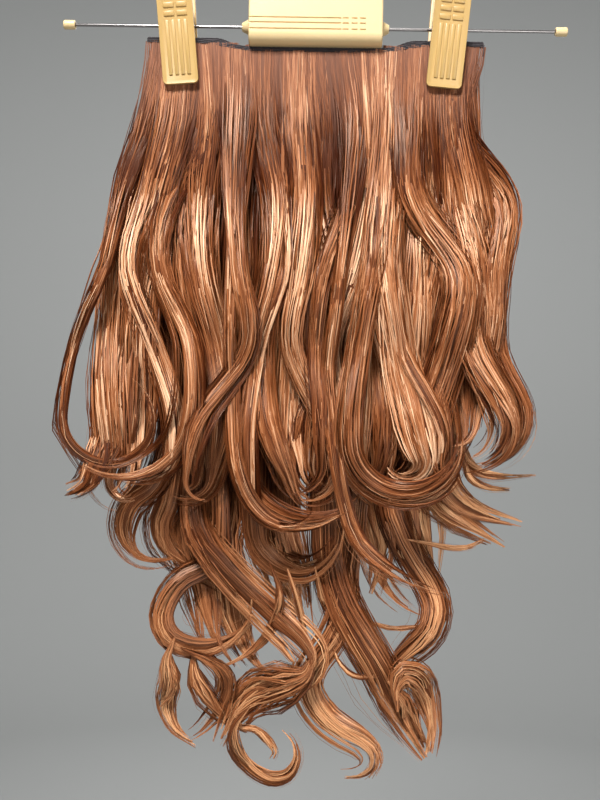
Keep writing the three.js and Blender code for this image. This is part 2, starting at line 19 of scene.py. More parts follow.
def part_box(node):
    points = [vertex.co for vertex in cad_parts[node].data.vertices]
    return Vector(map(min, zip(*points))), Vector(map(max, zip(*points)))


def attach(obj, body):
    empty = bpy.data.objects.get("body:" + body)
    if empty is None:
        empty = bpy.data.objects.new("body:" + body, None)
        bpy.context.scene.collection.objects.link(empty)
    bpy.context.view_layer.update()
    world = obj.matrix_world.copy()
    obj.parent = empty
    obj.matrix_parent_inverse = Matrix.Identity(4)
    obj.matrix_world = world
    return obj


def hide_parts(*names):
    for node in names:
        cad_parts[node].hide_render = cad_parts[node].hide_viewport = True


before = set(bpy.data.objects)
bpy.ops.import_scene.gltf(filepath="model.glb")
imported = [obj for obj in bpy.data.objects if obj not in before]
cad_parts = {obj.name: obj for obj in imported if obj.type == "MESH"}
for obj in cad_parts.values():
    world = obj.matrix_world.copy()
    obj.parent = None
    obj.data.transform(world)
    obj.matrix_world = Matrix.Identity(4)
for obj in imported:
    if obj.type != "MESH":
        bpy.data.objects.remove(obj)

logging.basicConfig(level=logging.INFO, format="%(message)s")
log = logging.getLogger("hair_extension")

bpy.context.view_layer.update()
BODY = "root"
MM = 0.001
GOLDEN_ANGLE = 2.399963
BAKE_MAP = "OFBake"
MIDDLE = 0.5
TINY = 1e-9
NEAR = MM / 10
FACING = 0.9
ROUND_ANGLE = 60.0

Piece = bpy.types.Object
Colour = tuple[float, float, float]
Point = tuple[float, float, float]


def smooth(low: float, high: float, value: np.ndarray | float) -> np.ndarray:
    """Eases from 0 at low to 1 at high.

    Args:
        low: Where the ease starts.
        high: Where it ends.
        value: One value or an array.

    Returns:
        The eased share, of the same shape.
    """
    share = np.clip((np.asarray(value, float) - low) / (high - low), 0.0, 1.0)
    return share * share * (3.0 - 2.0 * share)


def wave(turns: np.ndarray) -> np.ndarray:
    """A sine wave, counted in turns."""
    return np.sin(2 * np.pi * turns)


def unit(vectors: np.ndarray) -> np.ndarray:
    """Vectors brought to a length of 1 along the last axis."""
    return vectors / np.maximum(np.linalg.norm(vectors, axis=-1, keepdims=True), TINY)


def cubic(ends: tuple[Any, Any], slopes: tuple[Any, Any], share: np.ndarray) -> np.ndarray:
    """Points on a cubic curve.

    Args:
        ends: Where it starts and where it ends.
        slopes: Its slopes there.
        share: Shares of the way.

    Returns:
        The points.
    """
    (start, end), (slope_in, slope_out) = ends, slopes
    rise = end - start
    bend = 3 * rise - 2 * slope_in - slope_out
    twist = slope_in + slope_out - 2 * rise
    return start + share * (slope_in + share * (bend + share * twist))


def operator_for(operation: str, reflected: bool = False) -> Callable[["Field", Any], "Field"]:
    """Makes the method of a Field for one operator.

    Args:
        operation: What the Math node does.
        reflected: Whether the number comes first.

    Returns:
        The method.
    """

    def method(self: "Field", other: Any) -> "Field":
        """Adds a Math node with two operands."""
        first, second = (other, self) if reflected else (self, other)
        return self.shader.value("ShaderNodeMath", {"operation": operation}, {0: first, 1: second})

    return method


class Field:
    """A value in a shader. Arithmetic on it adds Math nodes."""

    __add__ = operator_for("ADD")
    __radd__ = operator_for("ADD", reflected=True)
    __sub__ = operator_for("SUBTRACT")
    __rsub__ = operator_for("SUBTRACT", reflected=True)
    __mul__ = operator_for("MULTIPLY")
    __rmul__ = operator_for("MULTIPLY", reflected=True)
    __truediv__ = operator_for("DIVIDE")
    __rtruediv__ = operator_for("DIVIDE", reflected=True)

    def __init__(self, shader: "Shader", socket: bpy.types.NodeSocket) -> None:
        """Keeps the shader that the value belongs to and its socket."""
        self.shader = shader
        self.socket = socket

    def limited(self) -> "Field":
        """The value held between 0 and 1."""
        return self.shader.value("ShaderNodeClamp", {}, {"Value": self})


class Shader:
    """A material's nodes round one Principled shader."""

    def __init__(self, name: str) -> None:
        """Starts a material with nothing but its output and shader.

        Args:
            name: The material's name.
        """
        self.material = bpy.data.materials.new(name)
        self.material.use_nodes = True
        self.tree = self.material.node_tree
        self.surface = self.tree.nodes["Principled BSDF"]

    def add(self, kind: str, settings: Mapping[str, Any], inputs: Mapping[Any, Any]) -> bpy.types.Node:
        """Adds a node.

        Args:
            kind: The node's type.
            settings: Its properties; "stops" holds a ramp's places and colours.
            inputs: A number, colour or Field for each socket.

        Returns:
            The new node.
        """
        node = self.tree.nodes.new(kind)
        for key, value in settings.items():
            if key == "stops":
                elements = node.color_ramp.elements
                for _ in range(len(value) - len(elements)):
                    elements.new(1.0)
                for element, (place, colour) in zip(elements, value):
                    element.position = place
                    element.color = (*colour, 1.0)
            else:
                setattr(node, key, value)
        for key, value in inputs.items():
            self.feed(node.inputs[key], value)
        return node

    def feed(self, socket: bpy.types.NodeSocket, value: Any) -> None:
        """Links a Field to a socket, or sets the socket's own number or colour.

        Args:
            socket: The input to feed.
            value: A Field, or the input's own value.
        """
        if isinstance(value, Field):
            self.tree.links.new(value.socket, socket)
        elif isinstance(value, tuple) and len(value) == 3 and socket.type == "RGBA":
            socket.default_value = (*value, 1.0)
        else:
            socket.default_value = value

    def value(
        self, kind: str, settings: Mapping[str, Any], inputs: Mapping[Any, Any], out: Any = 0,
    ) -> Field:
        """Adds a node and returns one of its outputs."""
        return Field(self, self.add(kind, settings, inputs).outputs[out])

    def attribute(self, name: str, out: str = "Fac") -> Field:
        """Reads one of the mesh's attributes."""
        return self.value("ShaderNodeAttribute", {"attribute_name": name}, {}, out)

    def place(self, stretch: Point = (1.0, 1.0, 1.0)) -> Field:
        """Object coordinates, stretched along each axis."""
        place = self.value("ShaderNodeTexCoord", {}, {}, "Object")
        return self.value("ShaderNodeMapping", {}, {"Vector": place, "Scale": stretch})

    def noise(self, place: Field, scale: float, detail: float = 4.0) -> Field:
        """Cloudy noise from 0 to 1."""
        inputs = {"Vector": place, "Scale": scale, "Detail": detail}
        return self.value("ShaderNodeTexNoise", {}, inputs, "Fac")

    def mix(self, share: Any, first: Any, second: Any) -> Field:
        """A colour between two colours."""
        return self.value("ShaderNodeMix", {"data_type": "RGBA"}, {0: share, 6: first, 7: second}, 2)

    def bump(self, height: Field, depth: float) -> None:
        """Feeds a height in metres to the surface's normal."""
        inputs = {"Height": height, "Distance": depth, "Strength": 1.0}
        self.feed(self.surface.inputs["Normal"], self.value("ShaderNodeBump", {}, inputs))

    def finish(self, sockets: Mapping[str, Any]) -> bpy.types.Material:
        """Sets the surface's sockets and returns the material.

        Args:
            sockets: Values for the surface's inputs, by their names.

        Returns:
            The material.
        """
        for key, value in sockets.items():
            self.feed(self.surface.inputs[key], value)
        return self.material


@dataclass(frozen=True)
class CreamPlastic:
    """Moulded cream plastic, yellowed a little unevenly and softly worn."""

    name: str = "cream_plastic"
    # These default colours, for the grip and caps, are the cream plastic's own colour, lightened partly as
    # painted light
    pale: Colour = (0.77, 0.59, 0.32)
    yellowed: Colour = (0.70, 0.51, 0.25)
    roughness: float = 0.36
    mottle_scale: float = 26.0
    mottle_roughness: float = 0.16
    grain_scale: float = 900.0
    grain_detail: float = 2.0
    grain_depth: float = 0.00005
    grain_roughness: float = 0.1
    glow: float = 0.08
    glow_radius: Colour = (0.004, 0.003, 0.0015)
    glow_scale: float = 0.5

    def material(self) -> bpy.types.Material:
        """Builds the material.

        Returns:
            The material.
        """
        shader = Shader(self.name)
        place = shader.place()
        mottle = shader.noise(place, self.mottle_scale)
        grain = shader.noise(place, self.grain_scale, self.grain_detail)
        shader.bump(grain, self.grain_depth)
        colour = shader.mix(mottle, self.pale, self.yellowed)
        rough = self.roughness + self.mottle_roughness * (mottle - MIDDLE)
        rough = rough + self.grain_roughness * (grain - MIDDLE)
        sockets = {"Base Color": colour, "Roughness": rough, "Subsurface Weight": self.glow}
        sockets |= {"Subsurface Radius": self.glow_radius, "Subsurface Scale": self.glow_scale}
        return shader.finish(sockets)


# A darker, more saturated copy of the cream plastic for the jaws: painted shade, where the jaws catch less
# light than the grip
SHADED_CLIP_PLASTIC = CreamPlastic("shaded_clip_plastic", (0.54, 0.35, 0.125), (0.48, 0.30, 0.098))


@dataclass(frozen=True)
class DrawnSteel:
    """Bright drawn wire with fine marks along its length."""

    colour: Colour = (0.40, 0.375, 0.365)
    stained: Colour = (0.24, 0.22, 0.215)
    roughness: float = 0.28
    mark_stretch: Point = (12.0, 900.0, 900.0)
    mark_detail: float = 3.0
    mark_depth: float = 0.00002
    mark_roughness: float = 0.2
    stain_scale: float = 60.0
    stain_starts: float = 0.35
    stain_roughness: float = 0.15
    stain_middle: float = 0.4

    def material(self) -> bpy.types.Material:
        """Builds the material.

        Returns:
            The material.
        """
        shader = Shader("drawn_steel")
        marks = shader.noise(shader.place(self.mark_stretch), 1.0, self.mark_detail)
        stain = shader.noise(shader.place(), self.stain_scale)
        shader.bump(marks, self.mark_depth)
        colour = shader.mix((stain - self.stain_starts).limited(), self.colour, self.stained)
        rough = self.roughness + self.mark_roughness * (marks - MIDDLE)
        rough = rough + self.stain_roughness * (stain - self.stain_middle)
        return shader.finish({"Base Color": colour, "Roughness": rough, "Metallic": 1.0})


@dataclass(frozen=True)
class BlackThread:
    """Black sewing thread with lighter flecks by noise, partly worn fibre and partly painted glints."""

    deep: Colour = (0.004, 0.0035, 0.005)
    worn: Colour = (0.075, 0.058, 0.062)
    roughness: float = 0.6
    specular: float = 0.4
    fibre_scale: float = 1600.0
    fibre_detail: float = 3.0
    fibre_depth: float = 0.0002
    fibre_roughness: float = 0.2
    patch_scale: float = 120.0
    dust_and_glint: float = 2.0

    def material(self) -> bpy.types.Material:
        """Builds the material.

        Returns:
            The material.
        """
        shader = Shader("black_thread")
        fibre = shader.noise(shader.place(), self.fibre_scale, self.fibre_detail)
        patch = shader.noise(shader.place(), self.patch_scale)
        shader.bump(fibre, self.fibre_depth)
        # The worn colour is lighter partly as painted glints on the thread
        colour = shader.mix((fibre * patch * self.dust_and_glint).limited(), self.deep, self.worn)
        rough = self.roughness + self.fibre_roughness * (fibre - MIDDLE)
        return shader.finish({"Base Color": colour, "Roughness": rough, "Specular IOR Level": self.specular})


@dataclass(frozen=True)
class AuburnHair:
    """Silky hair, its colour set by each strand's own tone and its place along the hair.

    Each of the waves is a band of painted light or shade: it has a start and an end along the hair and how
    much lighter (painted light) or darker (painted shade) its middle is.
    """

    name: str
    deep: Colour
    brown: Colour
    copper: Colour
    golden: Colour
    root: Colour
    waves: tuple[tuple[float, float, float], ...]
    wisp_tone: float = 0.9
    wisps_per_mm: float = 0.3
    wisp_detail: float = 1.0
    streak_tone: float = 1.7
    streaks_per_mm: float = 2.4
    streak_detail: float = 3.0
    streak_depth: float = 0.0002
    streak_roughness: float = 0.18
    brown_place: float = 0.34
    copper_place: float = 0.66
    root_reach: float = 0.2
    root_blend: float = 0.4
    shaded_root_tone: float = 0.27
    root_share: float = 0.36
    roughness: float = 0.36
    specular: float = 0.43
    sheen: Colour = (1.0, 0.74, 0.56)

    def stops(self) -> list[tuple[float, Colour]]:
        """The ramp from deep to golden hair."""
        places = (0.0, self.brown_place, self.copper_place, 1.0)
        return list(zip(places, (self.deep, self.brown, self.copper, self.golden)))

    @staticmethod
    def hump(along: Field, start: float, end: float) -> Field:
        """A rise from 0 at the start to 1 in the middle and back to 0 at the end."""
        return (4.0 / (end - start) ** 2 * (along - start) * (end - along)).limited()

    def material(self) -> bpy.types.Material:
        """Builds the material.

        Returns:
            The material.
        """
        shader = Shader(self.name)
        tone, along = shader.attribute("tone"), shader.attribute("along")
        grain = shader.attribute("grain", "Vector")
        streak = shader.noise(grain, self.streaks_per_mm, self.streak_detail)
        wisp = shader.noise(grain, self.wisps_per_mm, self.wisp_detail)
        shader.bump(streak, self.streak_depth)
        free = (along / self.root_blend).limited()
        uneven = self.wisp_tone * (wisp - MIDDLE) + self.streak_tone * (streak - MIDDLE)
        # Bands of painted light and shade along the hair, standing in for how light falls on its waves
        for start, end, painted_lift in self.waves:
            uneven = uneven + painted_lift * self.hump(along, start, end)
        # Painted shade: near the band the tone starts lower and eases back to the middle by root_blend
        base = self.shaded_root_tone + (MIDDLE - self.shaded_root_tone) * free
        shade = (base + tone - MIDDLE + uneven).limited()
        colour = shader.value("ShaderNodeValToRGB", {"stops": self.stops()}, {"Fac": shade}, "Color")
        # The paler, less saturated root colour mixed in near the band is partly painted sheen
        near_root = (1.0 - along / self.root_reach).limited()
        colour = shader.mix(self.root_share * near_root, colour, self.root)
        rough = self.roughness + self.streak_roughness * (streak - MIDDLE)
        sockets = {"Base Color": colour, "Roughness": rough, "Specular IOR Level": self.specular}
        return shader.finish(sockets | {"Specular Tint": (*self.sheen, 1.0)})


# In both finishes, waves lists bands of painted light and shade along the hair
FRONT_HAIR = AuburnHair(
    name="auburn_hair",
    deep=(0.050, 0.008, 0.0015),
    brown=(0.19, 0.050, 0.013),
    copper=(0.45, 0.165, 0.062),
    golden=(0.93, 0.57, 0.34),
    root=(0.42, 0.205, 0.140),
    waves=((0.12, 0.38, -0.23), (0.30, 0.60, 0.06), (0.66, 1.10, -0.08)),
)
REAR_HAIR = AuburnHair(
    name="auburn_hair_ends",
    deep=(0.055, 0.011, 0.0025),
    brown=(0.195, 0.057, 0.018),
    copper=(0.41, 0.150, 0.056),
    golden=(0.77, 0.405, 0.195),
    root=(0.33, 0.14, 0.080),
    waves=((0.12, 0.38, -0.2), (0.42, 0.86, -0.17), (0.74, 1.20, 0.15)),
    wisp_tone=0.45,
)


@dataclass(frozen=True)
class Edge:
    """How edges are rounded: how wide, in how many steps and, for hard edges, from which angle on."""

    width: float
    steps: int = 2
    angle: float = 35.0


class Bench:
    """Modelling by operators, one piece at a time."""

    @staticmethod
    def only(piece: Piece) -> None:
        """Selects one piece and nothing else.

        Args:
            piece: The piece to select.
        """
        bpy.ops.object.select_all(action="DESELECT")
        piece.select_set(True)
        bpy.context.view_layer.objects.active = piece

    @staticmethod
    def added(name: str) -> Piece:
        """Names the primitive that was just added and settles it at the origin.

        Args:
            name: The piece's name.

        Returns:
            The piece.
        """
        piece = bpy.context.object
        piece.name = name
        piece.data.name = name
        Bench.settle(piece)
        return piece

    @staticmethod
    def settle(piece: Piece) -> None:
        """Puts a piece's place, turn and scale into its mesh."""
        Bench.only(piece)
        bpy.ops.object.transform_apply(location=True, rotation=True, scale=True)

    @staticmethod
    def box(name: str, low: Sequence[float], high: Sequence[float]) -> Piece:
        """Adds a box between two corners.

        Args:
            name: The piece's name.
            low: Its low corner.
            high: Its high corner.

        Returns:
            The box.
        """
        middle = [(a + b) / 2 for a, b in zip(low, high)]
        bpy.ops.mesh.primitive_cube_add(size=1.0, location=middle)
        bpy.context.object.scale = [b - a for a, b in zip(low, high)]
        return Bench.added(name)

    @staticmethod
    def bar(
        name: str, radii: tuple[float, float], length: float, middle: Sequence[float], sides: int = 40,
    ) -> Piece:
        """Adds a round bar or cone along X, the first radius at its low end.

        Args:
            name: The piece's name.
            radii: Its radii at the low and the high end.
            length: Its length.
            middle: Its middle.
            sides: How many sides it has.

        Returns:
            The bar.
        """
        bpy.ops.mesh.primitive_cone_add(
            vertices=sides, radius1=radii[0], radius2=radii[1], depth=length,
            location=middle, rotation=(0.0, math.pi / 2, 0.0),
        )
        return Bench.added(name)

    @staticmethod
    def pick(piece: Piece, kind: str, test: Callable[..., bool]) -> None:
        """Selects edges or faces in code.

        Args:
            piece: The piece to select on.
            kind: "edges", tested by their two ends, or "faces", tested by their middle and normal.
            test: Says whether one is selected.
        """
        bpy.context.tool_settings.mesh_select_mode = (False, kind == "edges", kind == "faces")
        mesh = piece.data
        for group in (mesh.vertices, mesh.edges, mesh.polygons):
            group.foreach_set("select", [False] * len(group))
        for edge in mesh.edges if kind == "edges" else ():
            edge.select = test(*(mesh.vertices[i].co for i in edge.vertices))
        for face in mesh.polygons if kind == "faces" else ():
            face.select = test(face.center, face.normal)

    @staticmethod
    def edit(piece: Piece, *steps: Callable[[], Any]) -> None:
        """Runs operators on a piece in edit mode, on what is selected there.

        Args:
            piece: The piece to work on.
            steps: The operators, in order.
        """
        Bench.only(piece)
        bpy.ops.object.mode_set(mode="EDIT")
        for step in steps:
            step()
        bpy.ops.object.mode_set(mode="OBJECT")

    @staticmethod
    def bevel(piece: Piece, edge: Edge) -> None:
        """Rounds the picked edges."""
        Bench.edit(piece, lambda: bpy.ops.mesh.bevel(offset=edge.width, segments=edge.steps, profile=0.5))

    @staticmethod
    def draw_out(*way: float) -> Callable[[], Any]:
        """An edit that extrudes what is picked along a way."""
        return lambda: bpy.ops.mesh.extrude_region_move(TRANSFORM_OT_translate={"value": way})

    @staticmethod
    def modify(piece: Piece, kind: str, **settings: Any) -> None:
        """Adds a modifier of a kind to a piece, with these settings, and applies it.

        Args:
            piece: The piece to work on.
            kind: The modifier's type.
            settings: Its properties.
        """
        Bench.only(piece)
        modifier = piece.modifiers.new(kind.lower(), kind)
        for key, value in settings.items():
            setattr(modifier, key, value)
        bpy.ops.object.modifier_apply(modifier=modifier.name)

    @staticmethod
    def soften(piece: Piece, edge: Edge) -> None:
        """Rounds every hard edge."""
        limit = {"limit_method": "ANGLE", "angle_limit": math.radians(edge.angle)}
        Bench.modify(piece, "BEVEL", width=edge.width, segments=edge.steps, **limit, use_clamp_overlap=True)

    @staticmethod
    def combine(piece: Piece, tool: Piece, operation: str) -> None:
        """Joins a tool to a piece or cuts it away, then deletes the tool."""
        Bench.modify(piece, "BOOLEAN", operation=operation, object=tool, solver="EXACT")
        bpy.data.objects.remove(tool, do_unlink=True)

    @staticmethod
    def join(whole: Piece, parts: Sequence[Piece]) -> None:
        """Joins parts to a piece as shells of one mesh.

        Args:
            whole: The piece that they are joined to.
            parts: The parts.
        """
        Bench.only(whole)
        for part in parts:
            part.select_set(True)
        bpy.ops.object.join()

    @staticmethod
    def carry(piece: Piece, matrix: Matrix) -> None:
        """Moves and turns a piece, and puts that into its mesh."""
        piece.matrix_world = matrix
        Bench.settle(piece)

    @staticmethod
    def polish(piece: Piece, angle: float = 40.0) -> None:
        """Shades a piece smooth except over sharp edges."""
        Bench.only(piece)
        bpy.ops.object.shade_smooth_by_angle(angle=math.radians(angle))

    @staticmethod
    def level(piece: Piece) -> None:
        """Keeps large faces flat in the shading, so that only the roundings bend it."""
        Bench.modify(piece, "WEIGHTED_NORMAL", keep_sharp=True)


def dress(piece: Piece, material: bpy.types.Material, slot: str, *nodes: str) -> None:
    """Gives a finished piece its material and body, and hides the solids that it stands for.

    Args:
        piece: The finished piece.
        material: What it is made of.
        slot: The record's material slot; not used.
        nodes: The solids that it replaces.
    """
    piece.data.materials.clear()
    piece.data.materials.append(material)
    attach(piece, BODY)
    if nodes:
        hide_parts(*nodes)
    triangles = sum(len(face.vertices) - 2 for face in piece.data.polygons)
    log.info("%s: %d triangles", piece.name, triangles)


@dataclass(frozen=True)
class Tubes:
    """Thin tubes that all have the same number of steps. Its arrays go tube by step."""

    lines: np.ndarray
    radii: np.ndarray
    tone: np.ndarray
    along: np.ndarray
    facing: np.ndarray | None = None
    grain: np.ndarray | None = None


@dataclass
class TubeBatch:
    """Many thin closed tubes, gathered to become one mesh."""

    name: str
    sides: int = 3
    rows: int = 5
    flat: tuple[float, float] = (1.0, 1.0)
    crisp: bool = False

    GRAIN_SPREAD = 0.5
    GRAIN_LENGTH = 5.0
    FORWARD = (0.0, -1.0, 0.0)
    MAP_ACROSS = (0.1, 0.8)
    MAP_ALONG = (0.02, 0.96)
    CAP_SPOT = 0.002
    ATTRIBUTES = (
        ("tone", "FLOAT", "value"),
        ("along", "FLOAT", "value"),
        ("grain", "FLOAT_VECTOR", "vector"),
    )

    def __post_init__(self) -> None:
        """Starts with no tubes."""
        self.kept: dict[str, list[np.ndarray]] = {}
        self.count = 0
        self.tubes = 0

    def add(self, tubes: Tubes) -> None:
        """Adds tubes, each with a flat side turned the way that it faces.

        Args:
            tubes: The tubes to add.
        """
        tangent = unit(np.gradient(tubes.lines, axis=1))
        facing = np.array(self.FORWARD) if tubes.facing is None else tubes.facing
        first = unit(np.cross(facing, tangent))
        second = np.cross(tangent, first)
        angles = np.pi / 2 + 2 * np.pi * (np.arange(self.sides) + 0.5) / self.sides
        section = np.stack([np.cos(angles), np.sin(angles)], axis=1)
        wide, thin = (section * self.flat).T
        around = first[:, :, None] * wide[:, None] + second[:, :, None] * thin[:, None]
        rings = tubes.lines[:, :, None] + around * tubes.radii[:, :, None, None]
        grain = np.zeros((len(rings), 2)) if tubes.grain is None else tubes.grain
        grain = grain[:, None] + self.GRAIN_SPREAD * section
        self.add_rings(rings, tubes.tone[:, :, None], tubes.along, grain)

    def add_rings(self, rings: np.ndarray, tone: np.ndarray, along: np.ndarray, grain: np.ndarray) -> None:
        """Adds tubes by the corners of their rings.

        Args:
            rings: Corners, tube by step by side by axis.
            tone: Tone at each corner.
            along: Share of the length at each step.
            grain: Place of each side in its lock's section, in millimetres.
        """
        tubes, steps, sides, _ = rings.shape
        corner = np.arange(tubes * steps * sides).reshape(tubes, steps, sides) + self.count
        turned = np.roll(corner, -1, axis=2)
        quads = np.stack([corner[:, :-1], turned[:, :-1], turned[:, 1:], corner[:, 1:]], axis=-1)
        texture = np.empty((tubes, steps, sides, 3))
        texture[..., :2] = grain[:, None]
        texture[..., 2] = self.GRAIN_LENGTH * along[:, :, None]
        fresh = {
            "places": rings.reshape(-1, 3),
            "quads": quads.reshape(-1, 4),
            "caps": np.concatenate([corner[:, 0, ::-1], corner[:, -1]]),
            "tone": np.broadcast_to(tone, corner.shape).ravel(),
            "along": np.repeat(along.ravel(), sides),
            "grain": texture.reshape(-1, 3),
            "spots": self.map_spots(tubes, steps - 1, sides),
        }
        for key, values in fresh.items():
            self.kept.setdefault(key, []).append(values)
        self.count += corner.size
        self.tubes += tubes

    def map_spots(self, tubes: int, steps: int, sides: int) -> np.ndarray:
        """Where the corners of new quads lie in their tube's strip of the bake's map.

        Args:
            tubes: How many tubes.
            steps: Quads along each of them.
            sides: Quads round each of them.

        Returns:
            Rows of the tube's number plus the share across its strip, and the share along it.
        """
        number = np.arange(tubes)[:, None, None, None] + self.tubes
        wide = (np.arange(sides)[:, None] + np.array([0.0, 1.0, 1.0, 0.0])) / sides
        far = (np.arange(steps)[:, None] + np.array([0.0, 0.0, 1.0, 1.0])) / steps
        spots = np.empty((tubes, steps, sides, 4, 2))
        spots[..., 0] = number + self.MAP_ACROSS[0] + self.MAP_ACROSS[1] * wide[None, None]
        spots[..., 1] = self.MAP_ALONG[0] + self.MAP_ALONG[1] * far[None, :, None]
        return spots.reshape(-1, 2)

    def bake_places(self, spots: np.ndarray) -> np.ndarray:
        """A place of its own for every tube in the bake's map, in rows of columns.

        Args:
            spots: What map_spots gave for all quads.

        Returns:
            Places in the map.
        """
        columns = math.ceil(self.tubes / self.rows)
        number = np.floor(spots[:, 0])
        across = (number % columns + spots[:, 0] - number) / columns
        up = (number // columns + spots[:, 1]) / self.rows
        return np.stack([across, up], axis=1)

    def build(self) -> Piece:
        """Makes the mesh and its object.

        Returns:
            The piece.
        """
        whole = {key: np.concatenate(values) for key, values in self.kept.items()}
        quads, caps = whole["quads"], whole["caps"]
        mesh = bpy.data.meshes.new(self.name)
        mesh.vertices.add(self.count)
        mesh.vertices.foreach_set("co", whole["places"].astype(np.float32).ravel())
        mesh.loops.add(quads.size + caps.size)
        corners = np.concatenate([quads.ravel(), caps.ravel()])
        mesh.loops.foreach_set("vertex_index", corners.astype(np.int32))
        mesh.polygons.add(len(quads) + len(caps))
        starts = np.concatenate([np.arange(len(quads)) * 4, quads.size + np.arange(len(caps)) * self.sides])
        mesh.polygons.foreach_set("loop_start", starts.astype(np.int32))
        cap_spots = np.zeros((caps.size, 2))
        cap_spots[:, 0] = np.tile(np.linspace(0.0, self.CAP_SPOT, self.sides), len(caps))
        spots = np.concatenate([self.bake_places(whole["spots"]), cap_spots])
        layer = mesh.uv_layers.new(name=BAKE_MAP)
        layer.data.foreach_set("uv", spots.astype(np.float32).ravel())
        for name, kind, field in self.ATTRIBUTES:
            attribute = mesh.attributes.new(name, kind, "POINT")
            attribute.data.foreach_set(field, whole[name].astype(np.float32).ravel())
        mesh.update(calc_edges=True)
        mesh.validate()
        mesh.shade_smooth()
        ends = np.empty(2 * len(mesh.edges), np.int32)
        mesh.edges.foreach_get("vertices", ends)
        sharp = np.isin(ends, caps).reshape(-1, 2).all(axis=1)
        if self.crisp:
            sharp |= np.abs(ends[::2] - ends[1::2]) == self.sides
        mesh.edges.foreach_set("use_edge_sharp", sharp)
        piece = bpy.data.objects.new(self.name, mesh)
        bpy.context.collection.objects.link(piece)
        return piece


@dataclass(frozen=True)
class Spine:
    """The middle line of a lock with its frame and size at each step."""

    share: np.ndarray
    middle: np.ndarray
    across: np.ndarray
    through: np.ndarray
    half_width: np.ndarray
    half_thickness: np.ndarray
    rings: np.ndarray
    length: float

    def _read(self, share: np.ndarray, values: np.ndarray) -> np.ndarray:
        """Reads a quantity at shares of the length.

        Args:
            share: Shares of the lock's length.
            values: The quantity at each point of the spine.

        Returns:
            The quantity at the shares.
        """
        if values.ndim == 1:
            return np.interp(share, self.share, values)
        return np.stack([np.interp(share, self.share, column) for column in values.T], axis=-1)

    def _halves(self, share: np.ndarray) -> tuple[np.ndarray, np.ndarray]:
        """Half the lock's width and half its thickness at shares of the length."""
        return self._read(share, self.half_width), self._read(share, self.half_thickness)

    def _offset(self, share: np.ndarray, wide: np.ndarray, deep: np.ndarray) -> np.ndarray:
        """Adds up distances across and through the lock at shares of the length."""
        sideways = self._read(share, self.across) * wide[..., None]
        return sideways + self._read(share, self.through) * deep[..., None]

    def at(self, share: np.ndarray, wide: np.ndarray, deep: np.ndarray) -> np.ndarray:
        """Points in the lock.

        Args:
            share: Shares of the lock's length.
            wide: Place across the lock, from -1 to 1.
            deep: Place through the lock, from -1 to 1.

        Returns:
            The points, with an axis added at the end.
        """
        half_width, half_thickness = self._halves(share)
        return self._read(share, self.middle) + self._offset(share, wide * half_width, deep * half_thickness)

    def facing(self, share: np.ndarray, wide: np.ndarray, deep: np.ndarray) -> np.ndarray:
        """Which way the lock's skin faces at points in it, as at() takes them."""
        half_width, half_thickness = self._halves(share)
        return self._offset(share, wide / half_width, deep / half_thickness)

    def stand_off(self, share: np.ndarray) -> np.ndarray:
        """How far the middle stands before or behind the middle plane at shares of the length."""
        return self._read(share, self.middle[:, 1])


class Tier(Enum):
    """Which weft a lock hangs from. The value is its side of the middle plane."""

    FRONT = -1.0
    REAR = 1.0


